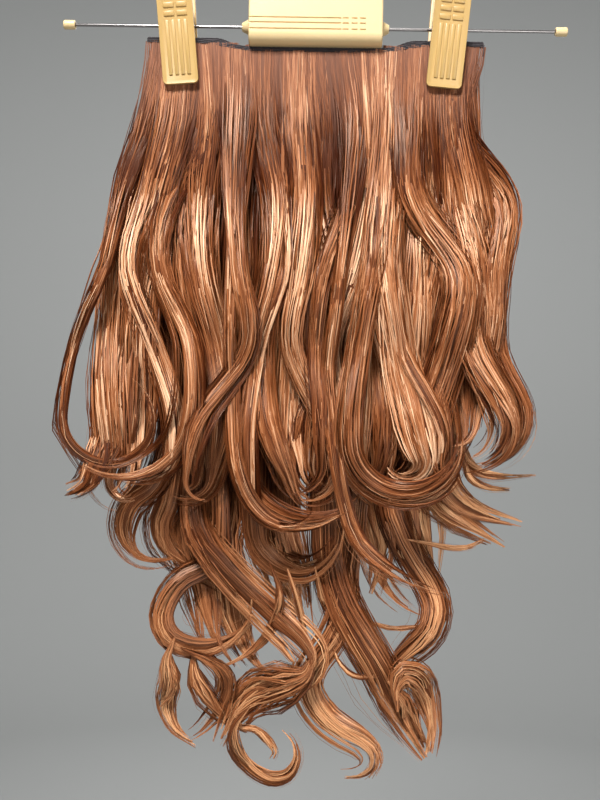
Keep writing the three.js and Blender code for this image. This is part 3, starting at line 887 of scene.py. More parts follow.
@dataclass(frozen=True)
class Lock:
    """A lock of hair, in millimetres and degrees. How its middle line runs is left to its kinds."""

    width: float
    depth: float

    LEVEL_ZERO = -111.0
    START = -4.0
    STEP = 6.0
    ROOT_OFFSET = 1.9
    ROOT_STAGGER = 0.012
    ROOT_WIDTH = 28.0
    BAND_REACH = 136.0
    ROOT_THICKNESS = 1.6
    ROOT_THICKENING = 0.07
    SPREAD = (60.0, 200.0)
    SPREAD_LAG = 230.0
    SPREAD_SHIFT = (-24.0, 40.0)
    PARTS = (40.0, 190.0)
    FLATNESS = 0.42
    THICKNESS = (4.0, 12.0)
    TAPER_LENGTH = 75.0
    TIP = 0.3
    EASE_TIP = 0.06
    EASE_LENGTH = 45.0
    EASE_DEPTH = 7.0
    WAVE_DEPTH = 7.0
    WAVE_LENGTH = 120.0
    WAVE_PHASE = -0.383
    WAVE_STARTS = (50.0, 150.0)

    def line(self) -> tuple[np.ndarray, np.ndarray]:
        """Points of place and height down the lock, and their fall below the band."""
        raise NotImplementedError

    def root(self) -> float:
        """Place across the weft where the lock starts."""
        return float(self.line()[0][0, 0])

    def steps(self, flat: np.ndarray, reach: float, turn: float) -> np.ndarray:
        """Where along the line strands take their steps, closer together where it bends.

        Args:
            flat: The line's points.
            reach: Longest step in millimetres.
            turn: Largest turn in a step, in degrees.

        Returns:
            Places along the line, counted in its points.
        """
        ways = np.diff(flat, axis=0)
        headings = np.unwrap(np.arctan2(ways[:, 0], -ways[:, 1]))
        bends = np.degrees(np.abs(np.diff(headings, prepend=headings[:1]))) / turn
        effort = np.concatenate([[0.0], np.cumsum(np.linalg.norm(ways, axis=1) / reach + bends)])
        count = math.ceil(effort[-1])
        return np.interp(np.linspace(0.0, effort[-1], count + 1), effort, np.arange(len(flat)))

    def spine(self, side: float, reach: float, turn: float, lag: float) -> Spine:
        """Works out the middle line, its frame and its size.

        Args:
            side: The tier's side of the middle plane.
            reach: Longest step of a strand in millimetres.
            turn: Largest turn in a step, in degrees.
            lag: How far the lock's waves fall out of step once it has parted, in turns.
                A lock that lags also parts lower.

        Returns:
            The spine, in metres.
        """
        flat, fall = self.line()
        shift = float(np.clip(self.SPREAD_LAG * lag, *self.SPREAD_SHIFT))
        spread = smooth(*self.SPREAD, fall - shift)
        stand_off = self.ROOT_OFFSET + self.depth * (self.ROOT_STAGGER + (1 - self.ROOT_STAGGER) * spread)
        run = np.concatenate([[0.0], np.cumsum(np.linalg.norm(np.diff(flat, axis=0), axis=1))])
        parting = smooth(0.0, self.EASE_LENGTH, run) if fall[0] > 0 else np.ones(len(run))
        stand_off -= self.EASE_DEPTH * (1.0 - parting)
        turns = run / self.WAVE_LENGTH + self.WAVE_PHASE + lag * smooth(*self.PARTS, fall)
        stand_off += self.WAVE_DEPTH * wave(turns) * smooth(*self.WAVE_STARTS, fall)
        middle = np.stack([flat[:, 0], side * stand_off, flat[:, 1]], axis=1) * MM
        ways = np.linalg.norm(np.diff(middle, axis=0), axis=1)
        length = float(ways.sum())
        share = np.concatenate([[0.0], np.cumsum(ways)]) / length
        along = unit(np.gradient(middle, axis=0))
        across = unit(np.stack([-along[:, 2], np.zeros(len(along)), along[:, 0]], axis=1))
        taper = self.TIP + (1 - self.TIP) * smooth(0.0, self.TAPER_LENGTH * MM, (1 - share) * length)
        taper *= self.EASE_TIP + (1 - self.EASE_TIP) * parting
        parted = smooth(*self.PARTS, fall)
        on_band = 2 * (self.BAND_REACH - abs(float(flat[0, 0])))
        root_width = min(max(self.ROOT_WIDTH, self.width), on_band)
        width = taper * (root_width + (self.width - root_width) * parted)
        full = float(np.clip(self.FLATNESS * self.width, *self.THICKNESS))
        root = self.ROOT_THICKNESS + self.ROOT_THICKENING * full
        thickness = taper * (root + (full - root) * spread)
        return Spine(
            share=share,
            middle=middle,
            across=across,
            through=np.cross(along, across),
            half_width=width * MM / 2,
            half_thickness=thickness * MM / 2,
            rings=np.interp(self.steps(flat, reach, turn), np.arange(len(share)), share),
            length=length,
        )


@dataclass(frozen=True)
class HangingLock(Lock):
    """A lock that hangs in waves and curls once at its end."""

    drop: float
    turn: float
    radius: float
    places: tuple[float, ...]

    LEVEL_STEP = 60.0
    TURN_STEP = 6.0

    def place_at(self, fall: np.ndarray | float) -> np.ndarray:
        """Where the lock stands across the weft at a level below the band.

        Args:
            fall: Levels below the band.

        Returns:
            Places across the weft.
        """
        fall = np.maximum(np.asarray(fall, float), 0.0)
        places = np.asarray(self.places)
        last = len(places) - 1
        span = np.minimum((fall / self.LEVEL_STEP).astype(int), last - 1)
        share = fall / self.LEVEL_STEP - span
        before, start, end, after = (places[np.clip(span + step, 0, last)] for step in (-1, 0, 1, 2))
        return cubic((start, end), ((end - before) / 2, (after - start) / 2), share)

    def line(self) -> tuple[np.ndarray, np.ndarray]:
        """The hang, then the bend of the curled end.

        Returns:
            The line, as Lock.line gives it.
        """
        hang = math.ceil((self.drop - self.START) / self.STEP)
        fall = np.linspace(self.START, self.drop, hang + 1)
        flat = np.stack([self.place_at(fall), self.LEVEL_ZERO - fall], axis=1)
        start = flat[-1]
        heading = math.atan(float(start[0] - self.place_at(self.drop - 1.0)))
        steps = math.ceil(abs(self.turn) / self.TURN_STEP)
        angles = heading + math.radians(self.turn) * np.arange(1, steps + 1) / steps
        hand = math.copysign(self.radius, self.turn)
        x = start[0] + hand * (math.cos(heading) - np.cos(angles))
        z = start[1] - hand * (np.sin(angles) - math.sin(heading))
        flat = np.concatenate([flat, np.stack([x, z], axis=1)])
        return flat, np.concatenate([fall, np.full(steps, self.drop)])


@dataclass(frozen=True)
class Ringlet(Lock):
    """A lock that is followed point by point: pairs of place across the weft and fall below the band."""

    path: tuple[tuple[float, float], ...]

    IN_BAND = 10.0

    def line(self) -> tuple[np.ndarray, np.ndarray]:
        """A smooth curve through the points, started in the band if the lock hangs from it.

        Returns:
            The line, as Lock.line gives it.
        """
        points = [np.array(point, float) for point in self.path]
        if points[0][1] < self.IN_BAND:
            points.insert(0, np.array((points[0][0], self.START)))
        points = [2 * points[0] - points[1], *points, 2 * points[-1] - points[-2]]
        curve = []
        for before, start, end, after in zip(points, points[1:], points[2:], points[3:]):
            gaps = [math.sqrt(math.dist(a, b)) for a, b in ((before, start), (start, end), (end, after))]
            rise = end - start
            slope_in = rise + gaps[1] * ((start - before) / gaps[0] - (end - before) / (gaps[0] + gaps[1]))
            slope_out = rise + gaps[1] * ((after - end) / gaps[2] - (after - start) / (gaps[1] + gaps[2]))
            count = max(2, math.ceil(math.dist(start, end) / self.STEP))
            share = (np.arange(count) / count)[:, None]
            curve.append(cubic((start, end), (slope_in, slope_out), share))
        curve.append(points[-2][None])
        line = np.concatenate(curve)
        return np.stack([line[:, 0], self.LEVEL_ZERO - line[:, 1]], axis=1), line[:, 1]


# A row for each front lock: drop, turn and radius of its curled end, width, depth,
# then its place across the weft at 0, 60, 120 and so on below the band.
FRONT_ROWS = (
    (298, 240, 35, 9, 20, -122, -134, -151, -160, -186, -191, -186),
    (348, 120, 14, 44, 8, -112, -122, -139, -145, -154, -156, -160),
    (312, -105, 50, 17, 26, -86, -86, -113, -118, -95, -94, -120),
    (345, 110, 14, 15, 28, -68, -66, -64, -56, -49, -86, -96),
    (350, 60, 30, 22, 20, -44, -42, -30, -31, -40, -33, -11),
    (335, -120, 22, 26, 18, -18, -14, -6, -7, -12, 14, 25),
    (330, -100, 24, 18, 24, 18, 28, 28, 9, 4, 9, 13),
    (330, 80, 40, 22, 16, 42, 46, 46, 34, 18, 29, 30),
    (312, -100, 25, 12, 26, 54, 62, 66, 63, 71, 100, 104),
    (325, 60, 30, 32, 18, 74, 74, 78, 114, 108, 93, 99),
    (292, -115, 30, 28, 20, 102, 102, 116, 126, 128, 154, 150),
    (285, -110, 36, 26, 12, 121, 110, 150, 143, 146, 166, 150),
    (312, 185, 42, 20, 30, 47, 50, 53, 46, 38, 31, 36),
    (322, -170, 16, 32, 22, 58, 60, 58, 54, 66, 85, 99),
    (322, -110, 30, 22, 14, -110, -113, -129, -142, -123, -104, -112),
    (345, -110, 18, 34, 8, -81, -83, -92, -90, -78, -72, -82),
    (330, 125, 56, 16, 14, -54, -52, -54, -52, -60, -60, -50),
    (355, 150, 26, 14, 22, -33, -30, -26, -22, -40, -47, -45),
    (330, 100, 20, 26, 8, 4, 7, 7, 18, 25, 7, 2),
    (330, -150, 24, 26, 8, 90, 90, 101, 101, 93, 104, 108),
    (300, -90, 20, 26, 10, 114, 115, 129, 136, 138, 131, 120),
    (335, 70, 30, 34, 5, -10, -10, -8, -12, -18, -17, -10),
    (330, -60, 30, 32, 4, 54, 54, 56, 52, 50, 55, 52),
    (318, -80, 26, 30, 5, 82, 82, 86, 85, 84, 85, 86),
    (335, -60, 30, 32, 5, -106, -110, -124, -132, -135, -136, -138),
    (305, -60, 26, 26, 6, 108, 110, 116, 121, 123, 124, 120),
)
# A row for each lock that is followed point by point: width, depth, then pairs of place and fall.
# A lock that starts low parts from another one.
FRONT_RINGLETS = (
    (10, 26, 28, 6, 33, 62, 20, 200, 14, 260, 20, 330, 29, 371, 38, 392, 53, 406, 73, 418, 92, 426, 110,
      431),
    (12, 24, -60, 6, -58, 62, -62, 200, -60, 300, -54, 338, -44, 361, -28, 376, -8, 380, 12, 376, 32,
      363),
    (32, 9, -146, 250, -155, 295, -162, 328, -174, 352, -192, 360),
)
REAR_RINGLETS = (
    (26, 14, -112, 6, -112, 62, -114, 200, -117, 321, -128, 352, -143, 365, -151, 382, -150, 399, -140, 412,
      -126, 416, -110, 412),
    (28, 20, -104, 6, -104, 62, -106, 200, -114, 362, -121, 385, -116, 405, -100, 418, -81, 428,
      -64, 440),
    (36, 24, -84, 6, -86, 62, -88, 200, -95, 368, -99, 396, -90, 424, -84, 452, -76, 480, -60, 502),
    (38, 26, -62, 6, -62, 62, -60, 200, -66, 372, -71, 401, -62, 432, -58, 466, -44, 496, -26, 510),
    (24, 12, -92, 6, -92, 62, -86, 200, -70, 383, -72, 409, -85, 423, -100, 430, -110, 442,
      -115, 458, -109, 473, -95, 481, -77, 483, -59, 476, -47, 463, -44, 444),
    (26, 8, -74, 6, -76, 62, -80, 200, -93, 370, -85, 394, -69, 414, -49, 436, -26, 457, -6, 473,
      4, 490, -4, 507, -26, 517),
    (13, 9, -44, 526, -57, 544, -57, 563, -46, 581, -28, 591, -12, 586, -4, 570, -8, 555, -17, 547),
    (28, 10, -44, 6, -44, 62, -42, 200, -43, 379, -39, 401, -23, 416, -4, 421, 12, 413, 24, 396,
      27, 381),
    (28, 16, 30, 6, 30, 62, 32, 200, 35, 383, 32, 415, 31, 451, 21, 477, 8, 497, 3, 514, 7, 529,
      17, 542, 31, 551, 46, 558, 55, 568, 54, 580, 45, 588, 31, 591),
    (36, 12, 10, 6, 10, 62, 12, 200, 17, 383, 20, 414, 29, 444, 47, 475, 62, 501, 71, 525, 81, 546,
      91, 560, 98, 569),
    (28, 18, 66, 6, 66, 62, 66, 200, 68, 366, 76, 390, 89, 414, 101, 433, 106, 451, 100, 469,
      86, 483, 74, 497, 72, 516, 82, 534),
    (34, 24, 84, 6, 84, 62, 82, 200, 84, 372, 89, 400, 96, 423, 105, 446),
    (19, 25, 48, 6, 48, 62, 46, 200, 49, 383, 57, 414, 67, 436, 82, 451, 102, 459),
    (28, 12, 110, 6, 110, 62, 106, 200, 109, 349, 120, 363, 135, 371, 154, 376, 175, 381),
    (29, 16, 96, 6, 96, 62, 96, 200, 101, 352, 111, 370, 127, 381, 143, 390, 162, 401),
    (15, 10, 120, 6, 122, 62, 122, 200, 121, 311, 129, 330, 143, 339, 162, 340, 183, 338),
    (48, 22, -22, 6, -22, 62, -22, 200, -24, 372, -18, 404, -8, 438, 0, 472),
    (38, 22, 52, 6, 52, 62, 52, 200, 58, 370, 62, 404, 54, 442),
    (10, 12, -31, 412, -22, 436, -26, 461, -37, 481, -55, 495, -73, 500),
    (22, 14, -106, 474, -112, 492, -110, 511, -114, 533, -106, 554, -88, 564),
    (14, 15, -109, 488, -105, 508, -110, 523, -120, 535),
    (17, 12, -101, 482, -81, 491, -67, 503, -64, 517, -70, 535, -86, 554, -95, 559),
    (24, 16, -92, 484, -90, 505, -80, 524, -66, 544, -46, 556),
    (42, 12, 6, 487, 0, 502, -20, 513, -44, 525, -60, 543, -70, 562),
    (16, 10, -57, 535, -52, 545, -40, 547, -30, 555, -23, 566, -26, 574),
    (28, 11, 74, 530, 73, 510, 79, 501, 88, 505, 97, 519, 103, 537, 105, 553, 101, 570),
    (34, 13, 66, 506, 79, 524, 90, 546, 99, 568),
    (12, 19, 100, 463, 86, 465, 68, 466, 47, 461),
    (12, 12, -16, 417, -8, 442, -2, 465, 2, 486),
    (14, 13, 6, 416, 13, 446, 23, 467, 18, 486),
    (10, 14, 20, 476, 27, 493, 40, 504, 62, 506),
    (9, 18, 80, 394, 96, 396, 112, 399, 129, 400, 146, 394),
    (12, 10, 123, 317, 129, 341, 143, 350, 166, 352),
)


@dataclass(frozen=True)
class Band:
    """A sewn band and its thread, in millimetres: level outside the clips, with a sag between them."""

    name: str
    level: float
    sag: float
    sag_starts: float
    sag_full: float
    thread_end: float = 0.0
    height: float = 3.5
    cuts: int = 89
    edge: Edge = Edge(0.6 * MM)
    thread_room: float = 0.25
    thread_sides: int = 4
    map_rows: int = 6
    stitch_pitch: float = 1.9
    stitch_margins: tuple[float, float] = (1.0, 0.8)
    stitch_shift: float = 0.12
    stitch_reach: tuple[float, float] = (0.35, 0.7)
    stitch_lean: float = 0.9
    stitch_rounding: float = 0.5
    stitch_steps: int = 11
    stitch_radius: float = 0.28
    cord_levels: tuple[float, ...] = (-0.72, 0.05, 0.78)
    cord_beat: float = 0.16
    cord_steps: int = 160
    cord_radius: float = 0.34
    end_inset: float = 0.5
    end_sway: float = 0.8
    end_turn: float = 3.0
    end_steps: int = 8
    end_radius: float = 0.5

    def height_at(self, x: np.ndarray | float) -> np.ndarray:
        """Height of the band's middle at a place across the weft."""
        return self.level - self.sag * (1 - smooth(self.sag_full, self.sag_starts, np.abs(x)))

    def faces(self) -> tuple[float, float, float, float]:
        """The band's left and right ends and its front and back, with room for the thread."""
        low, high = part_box(f"{self.name}_band")
        return low.x / MM, high.x / MM, low.y / MM - self.thread_room, high.y / MM + self.thread_room

    def build_strip(self) -> Piece:
        """Makes the band: a soft strip that sags between the clips.

        Returns:
            The strip.
        """
        low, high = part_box(f"{self.name}_band")
        half = self.height * MM / 2
        piece = Bench.box(f"{self.name}_band_strip", (low.x, low.y, -half), (high.x, high.y, half))
        Bench.pick(piece, "edges", lambda a, b: abs(a.x - b.x) > MM)
        Bench.edit(piece, lambda: bpy.ops.mesh.subdivide(number_cuts=self.cuts))
        Bench.pick(piece, "edges", lambda a, b: abs(a.y - b.y) < NEAR and abs(a.z - b.z) < NEAR)
        Bench.bevel(piece, self.edge)
        for vertex in piece.data.vertices:
            vertex.co.z += float(self.height_at(vertex.co.x / MM)) * MM
        Bench.polish(piece, ROUND_ANGLE)
        return piece

    @staticmethod
    def thread(x: np.ndarray, y: np.ndarray | float, z: np.ndarray, radius: float) -> Tubes:
        """Makes threads of an even thickness.

        Args:
            x: Places across the weft in millimetres, a row for each thread.
            y: Places through it.
            z: Heights.
            radius: The thread's radius in millimetres.

        Returns:
            The threads as tubes.
        """
        lines = np.stack(np.broadcast_arrays(*np.atleast_2d(x, y, z)), axis=-1) * MM
        shape = lines.shape[:2]
        far = np.broadcast_to(np.linspace(0, 1, shape[1]), shape)
        return Tubes(lines, np.full(shape, radius * MM), np.full(shape, MIDDLE), far)

    def stitches(self, draws: np.random.Generator) -> Tubes:
        """Draws the whip stitches round the band.

        Args:
            draws: The weft's seeded draws.

        Returns:
            The stitches as tubes.
        """
        left, right, front, back = self.faces()
        places = np.arange(left + self.stitch_margins[0], right - self.stitch_margins[1], self.stitch_pitch)
        places = places + draws.normal(0.0, self.stitch_shift, len(places))
        turn = np.linspace(0.0, 2 * np.pi, self.stitch_steps)
        least, more = self.stitch_reach
        reach = self.height / 2 + least + draws.uniform(0.0, more, len(places))
        x = places[:, None] + self.stitch_pitch * np.linspace(0.0, self.stitch_lean, len(turn))
        forward = np.sign(np.cos(turn)) * np.abs(np.cos(turn)) ** self.stitch_rounding
        y = (front + back) / 2 - (back - front) / 2 * forward
        tall = np.where(np.sin(turn) < 0, reach[:, None], self.height / 2 + self.thread_room)
        return self.thread(x, y, self.height_at(x) + tall * np.sin(turn), self.stitch_radius)

    def build_stitching(self, draws: np.random.Generator) -> Piece:
        """Makes the thread: whip stitches, cords along both faces and, where asked for, a loose end.

        Args:
            draws: The weft's seeded draws.

        Returns:
            The thread as one piece.
        """
        left, right, front, back = self.faces()
        batch = TubeBatch(f"{self.name}_stitching", sides=self.thread_sides, rows=self.map_rows)
        batch.add(self.stitches(draws))
        x = np.linspace(left, right, self.cord_steps)
        middle = self.height_at(x) + self.cord_beat * wave(x / (2 * self.stitch_pitch))
        for level in self.cord_levels:
            for face in (front, back):
                batch.add(self.thread(x, face, middle + level * self.height / 2, self.cord_radius))
        if self.thread_end:
            share = np.linspace(0.0, 1.0, self.end_steps)
            x = right - self.end_inset + self.end_sway * np.sin(self.end_turn * share)
            z = self.height_at(x) + self.height / 2 - self.thread_end * share
            batch.add(self.thread(x, front, z, self.end_radius))
        return batch.build()


@dataclass
class Weft:
    """A weft: its sewn band and the hair that hangs from it."""

    name: str
    tier: Tier
    band: Band
    locks: tuple[Lock, ...]
    finish: AuburnHair
    slot: str
    strands_per_mm: float
    strand_step: tuple[float, float]
    seed: int
    strand_radius: float = 0.00042
    strand_flat: tuple[float, float] = (1.35, 0.5)
    wisp_strands: int = 14
    glint: float = 0.18
    flyaways: int = 12
    flyaway_radius: float = 0.00012
    flyaway_loose: float = 1.7
    tail_length: float = 0.075
    core_scale: tuple[float, float] = (0.62, 0.36)
    core_sides: int = 14
    core_rows: int = 3
    core_end: float = 0.96
    core_taper: float = 0.8
    core_shade_tone: tuple[float, float] = (0.22, 0.1)

    PARTS = ("left", "middle_left", "middle", "middle_right", "right")
    LOCK_APART = 41.0
    LOCK_LAG = 0.13
    BELOW_BAND = 0.9
    TAIL_SHARE = 0.34
    LEAST_WISPS = 4
    WISP_REACH = 0.92
    WISP_CROWDING = 0.33
    WISP_LAG = 0.015
    LAG_STARTS = (0.1, 0.5)
    WISP_END = 0.5
    STRAND_END = 0.2
    STRAY_SHARE = 0.2
    STRAY_REACH = 1.2
    STRAY_STARTS = (0.3, 0.95)
    FLARE = 0.45
    FLARE_ROOM = 0.3
    LOCK_TONE = 0.08
    WISP_TONE = 0.13
    STRAND_TONE = 0.06
    TONES = (0.02, 0.98)
    TWIST = 0.4
    OFFSET = (0.19, 0.11)
    GATHER = 0.65
    SWAY = 0.14
    SWAY_TURNS = 1.3
    RIPPLE = 0.04
    RIPPLE_TURNS = 3.3
    ROOM = 1.08
    PAINTED_LOCK_SHADE = 0.32
    PAINTED_LOCK_SHADE_MIDDLE = 0.32
    EMERGE = 0.05
    EMERGE_STARTS = (0.03, 0.12)
    EMERGE_ENDS = (0.38, 0.62)
    EMERGE_LOSS = 0.6
    RADII = (0.7, 1.3)
    ROOT_RADIUS = 0.62
    FULL_STARTS = (0.03, 0.3)
    TIP_LOSS = 0.65
    TIP_SHARE = 0.8

    def __post_init__(self) -> None:
        """Starts the weft's own seeded draws and works out its locks."""
        self.draws = np.random.default_rng(self.seed)
        self.spines = [
            lock.spine(self.tier.value, *self.strand_step, self.draws.normal(0.0, self.LOCK_LAG))
            for lock in self.locks
        ]

    def tail(self, number: int) -> float:
        """Share of a lock's length over which its strands come to an end."""
        return min(self.TAIL_SHARE, self.tail_length / self.spines[number].length)

    def start_share(self, number: int, wide: np.ndarray) -> np.ndarray:
        """Share of a lock's length at which strands leave the band, by their place across it.

        Args:
            number: Which lock.
            wide: Places across the lock, from -1 to 1.

        Returns:
            The shares.
        """
        spine = self.spines[number]
        if self.locks[number].line()[1][0] > 0:
            return np.zeros_like(wide)
        root = spine.middle[0, 0] - wide * spine.half_width[0]
        leave = Lock.LEVEL_ZERO - (self.band.height_at(root / MM) - self.BELOW_BAND)
        return np.maximum(leave - Lock.START, 0.0) * MM / spine.length

    def from_root(self, number: int, own: np.ndarray) -> np.ndarray:
        """Shares of the whole hair's length, counted from the band, for shares of a lock's own.

        Args:
            number: Which lock.
            own: Shares of the lock's own length.

        Returns:
            Shares of the whole hair's.
        """
        hidden = max(float(self.locks[number].line()[1][0]), 0.0) * MM
        first = hidden / (hidden + self.spines[number].length)
        return first + (1.0 - first) * own

    def section(self, number: int, wide: np.ndarray, deep: np.ndarray) -> np.ndarray:
        """Places in a lock's section in millimetres, moved apart for each lock.

        Args:
            number: Which lock.
            wide: Places across the lock, from -1 to 1.
            deep: Places through the lock, from -1 to 1.

        Returns:
            The places, with an axis added at the end.
        """
        spine = self.spines[number]
        x = wide * spine.half_width.max() / MM + self.LOCK_APART * number
        return np.stack([x, deep * spine.half_thickness.max() / MM], axis=-1)

    def strands(self, number: int, count: int, loose: float, radius: float) -> Tubes:
        """Draws the strands of one lock.

        Args:
            number: Which lock.
            count: How many strands.
            loose: How far the strands stray, 1 for hair that keeps to its wisp.
            radius: The strands' radius at their fullest.

        Returns:
            The strands as tubes.
        """
        spine, draws, tail = self.spines[number], self.draws, self.tail(number)
        wisps = max(self.LEAST_WISPS, count // self.wisp_strands)
        member = np.arange(count) % wisps
        order = np.arange(wisps)
        reach = self.WISP_REACH * ((order + 0.5) / wisps) ** self.WISP_CROWDING
        angle = order * GOLDEN_ANGLE + draws.uniform(0, 2 * np.pi)
        wisp_wide, wisp_deep = reach * np.cos(angle), reach * np.sin(angle)
        lag = draws.normal(0.0, self.WISP_LAG * loose, wisps)
        strays = draws.random(wisps) < self.STRAY_SHARE
        stray = np.where(strays, draws.uniform(-self.STRAY_REACH, self.STRAY_REACH, wisps), 0.0)
        flare = draws.normal(0.0, self.FLARE, (wisps, 2))
        wisp_phase = draws.uniform(0, 1, (wisps, 2))
        wisp_end = 1.0 - self.WISP_END * tail * draws.random(wisps) ** 2
        wisp_tone = draws.normal(0.0, self.LOCK_TONE) + draws.normal(0.0, self.WISP_TONE, wisps)
        twist = draws.uniform(-self.TWIST, self.TWIST) * 2 * np.pi
        offset = draws.normal(0.0, 1.0, (count, 2)) * np.multiply(self.OFFSET, loose)
        phase = draws.uniform(0, 1, (count, 2))
        end = wisp_end[member] * (1.0 - self.STRAND_END * tail * draws.random(count))
        tone = MIDDLE + wisp_tone[member] + draws.normal(0.0, self.STRAND_TONE, count)
        wide0, deep0 = wisp_wide[member], wisp_deep[member]
        grain = self.section(number, wide0 + offset[:, 0], deep0 + offset[:, 1])
        start = self.start_share(number, wide0 + offset[:, 0])
        share = start[:, None] + (end - start)[:, None] * spine.rings
        own = share / end[:, None]
        gather = 1.0 - self.GATHER * smooth(1.0 - tail, 1.0, own)
        opened = smooth(1.0 - tail, 1.0, share)
        turn = twist * share
        wide = wide0[:, None] * np.cos(turn) - deep0[:, None] * np.sin(turn)
        deep = wide0[:, None] * np.sin(turn) + deep0[:, None] * np.cos(turn)
        wide, deep = (
            place
            + offset[:, axis, None] * gather
            + self.SWAY * wave(self.SWAY_TURNS * share + wisp_phase[member, axis, None])
            + self.RIPPLE * loose * wave(self.RIPPLE_TURNS * share + phase[:, axis, None])
            + flare[member, axis, None] * opened
            for axis, place in enumerate((wide, deep))
        )
        room = self.ROOM * max(1.0, loose) + self.FLARE_ROOM * opened
        limit = np.minimum(1.0, room / np.maximum(np.hypot(wide, deep), TINY))
        wide, deep = wide * limit, deep * limit
        late = np.clip(share + lag[member, None] * smooth(*self.LAG_STARTS, share), 0.0, 1.0)
        wander = stray[member, None] * smooth(*self.STRAY_STARTS, share)
        lines = spine.at(late, wide + wander, deep)
        rising = 1 - self.EMERGE_LOSS * smooth(*self.EMERGE_ENDS, share)
        rising = rising * smooth(*self.EMERGE_STARTS, share)
        rising = rising * (1 - smooth(1.0 - 2 * tail, 1.0 - tail, share))
        emerge = self.EMERGE / spine.length * (phase[:, 1:] - MIDDLE) * rising
        lines[..., 1] += spine.stand_off(late + emerge) - spine.stand_off(late)
        facing = spine.facing(late, wide + draws.normal(0.0, self.glint, (count, 1)), deep)
        swell = self.ROOT_RADIUS + (1.0 - self.ROOT_RADIUS) * smooth(*self.FULL_STARTS, own)
        swell = swell * (1.0 - self.TIP_LOSS * smooth(1.0 - self.TIP_SHARE * tail, 1.0, own))
        radii = radius * draws.uniform(*self.RADII, count)[:, None] * swell
        # Painted light and shade across each lock: lighter down its middle and darker towards its edges, so
        # that it looks rounded
        rounding = self.PAINTED_LOCK_SHADE * (self.PAINTED_LOCK_SHADE_MIDDLE - np.minimum(wide**2, 1.0))
        shade = np.clip(tone, *self.TONES)[:, None] + rounding
        return Tubes(lines, radii, shade, self.from_root(number, own), facing, grain)

    def build_hair(self) -> list[Piece]:
        """Makes the strands of every lock, in pieces from left to right.

        Returns:
            The pieces.
        """
        order = np.argsort([lock.root() for lock in self.locks])
        pieces = []
        for part, group in zip(self.PARTS, np.array_split(order, len(self.PARTS))):
            batch = TubeBatch(f"{self.name}_strands_{part}", flat=self.strand_flat, crisp=True)
            for number in group:
                count = round(self.locks[number].width * self.strands_per_mm)
                batch.add(self.strands(number, count, 1.0, self.strand_radius))
                batch.add(self.strands(number, self.flyaways, self.flyaway_loose, self.flyaway_radius))
            pieces.append(batch.build())
        return pieces

    def build_core(self) -> Piece:
        """Makes the dense inside of each lock, darkened as painted shade and streaked along its length.

        Returns:
            The cores as one piece.
        """
        batch = TubeBatch(f"{self.name}_lock_cores", sides=self.core_sides, rows=self.core_rows)
        angles = 2 * np.pi * np.arange(self.core_sides) / self.core_sides
        for number, spine in enumerate(self.spines):
            start = float(self.start_share(number, np.zeros(1))[0])
            share = start + (self.core_end - start) * spine.rings
            fine = np.interp(np.linspace(0, 1, 2 * len(share) - 1), np.linspace(0, 1, len(share)), share)
            ring = np.stack([np.cos(angles), np.sin(angles)])
            size = 1.0 - self.core_taper * smooth(1.0 - self.tail(number), 1.0, fine / fine[-1])
            wide, deep = (scale * size[:, None] * row for scale, row in zip(self.core_scale, ring))
            rings = spine.at(np.repeat(fine[:, None], self.core_sides, axis=1), wide, deep)
            # Painted shade: the cores get a low tone for the shadowed inside of each lock
            tone = np.clip(self.draws.normal(*self.core_shade_tone, self.core_sides), 0.0, 1.0)
            along = self.from_root(number, fine / fine[-1])
            batch.add_rings(rings[None], tone, along[None], self.section(number, *ring)[None])
        return batch.build()

    def build(self, thread: bpy.types.Material) -> None:
        """Builds and dresses the whole weft.

        Args:
            thread: The material of the band and its thread.
        """
        dress(self.band.build_strip(), thread, "black_thread", f"{self.name}_band")
        dress(self.band.build_stitching(self.draws), thread, "black_thread")
        hair = self.finish.material()
        dress(self.build_core(), hair, self.slot, f"{self.name}_hair")
        for piece in self.build_hair():
            dress(piece, hair, self.slot)


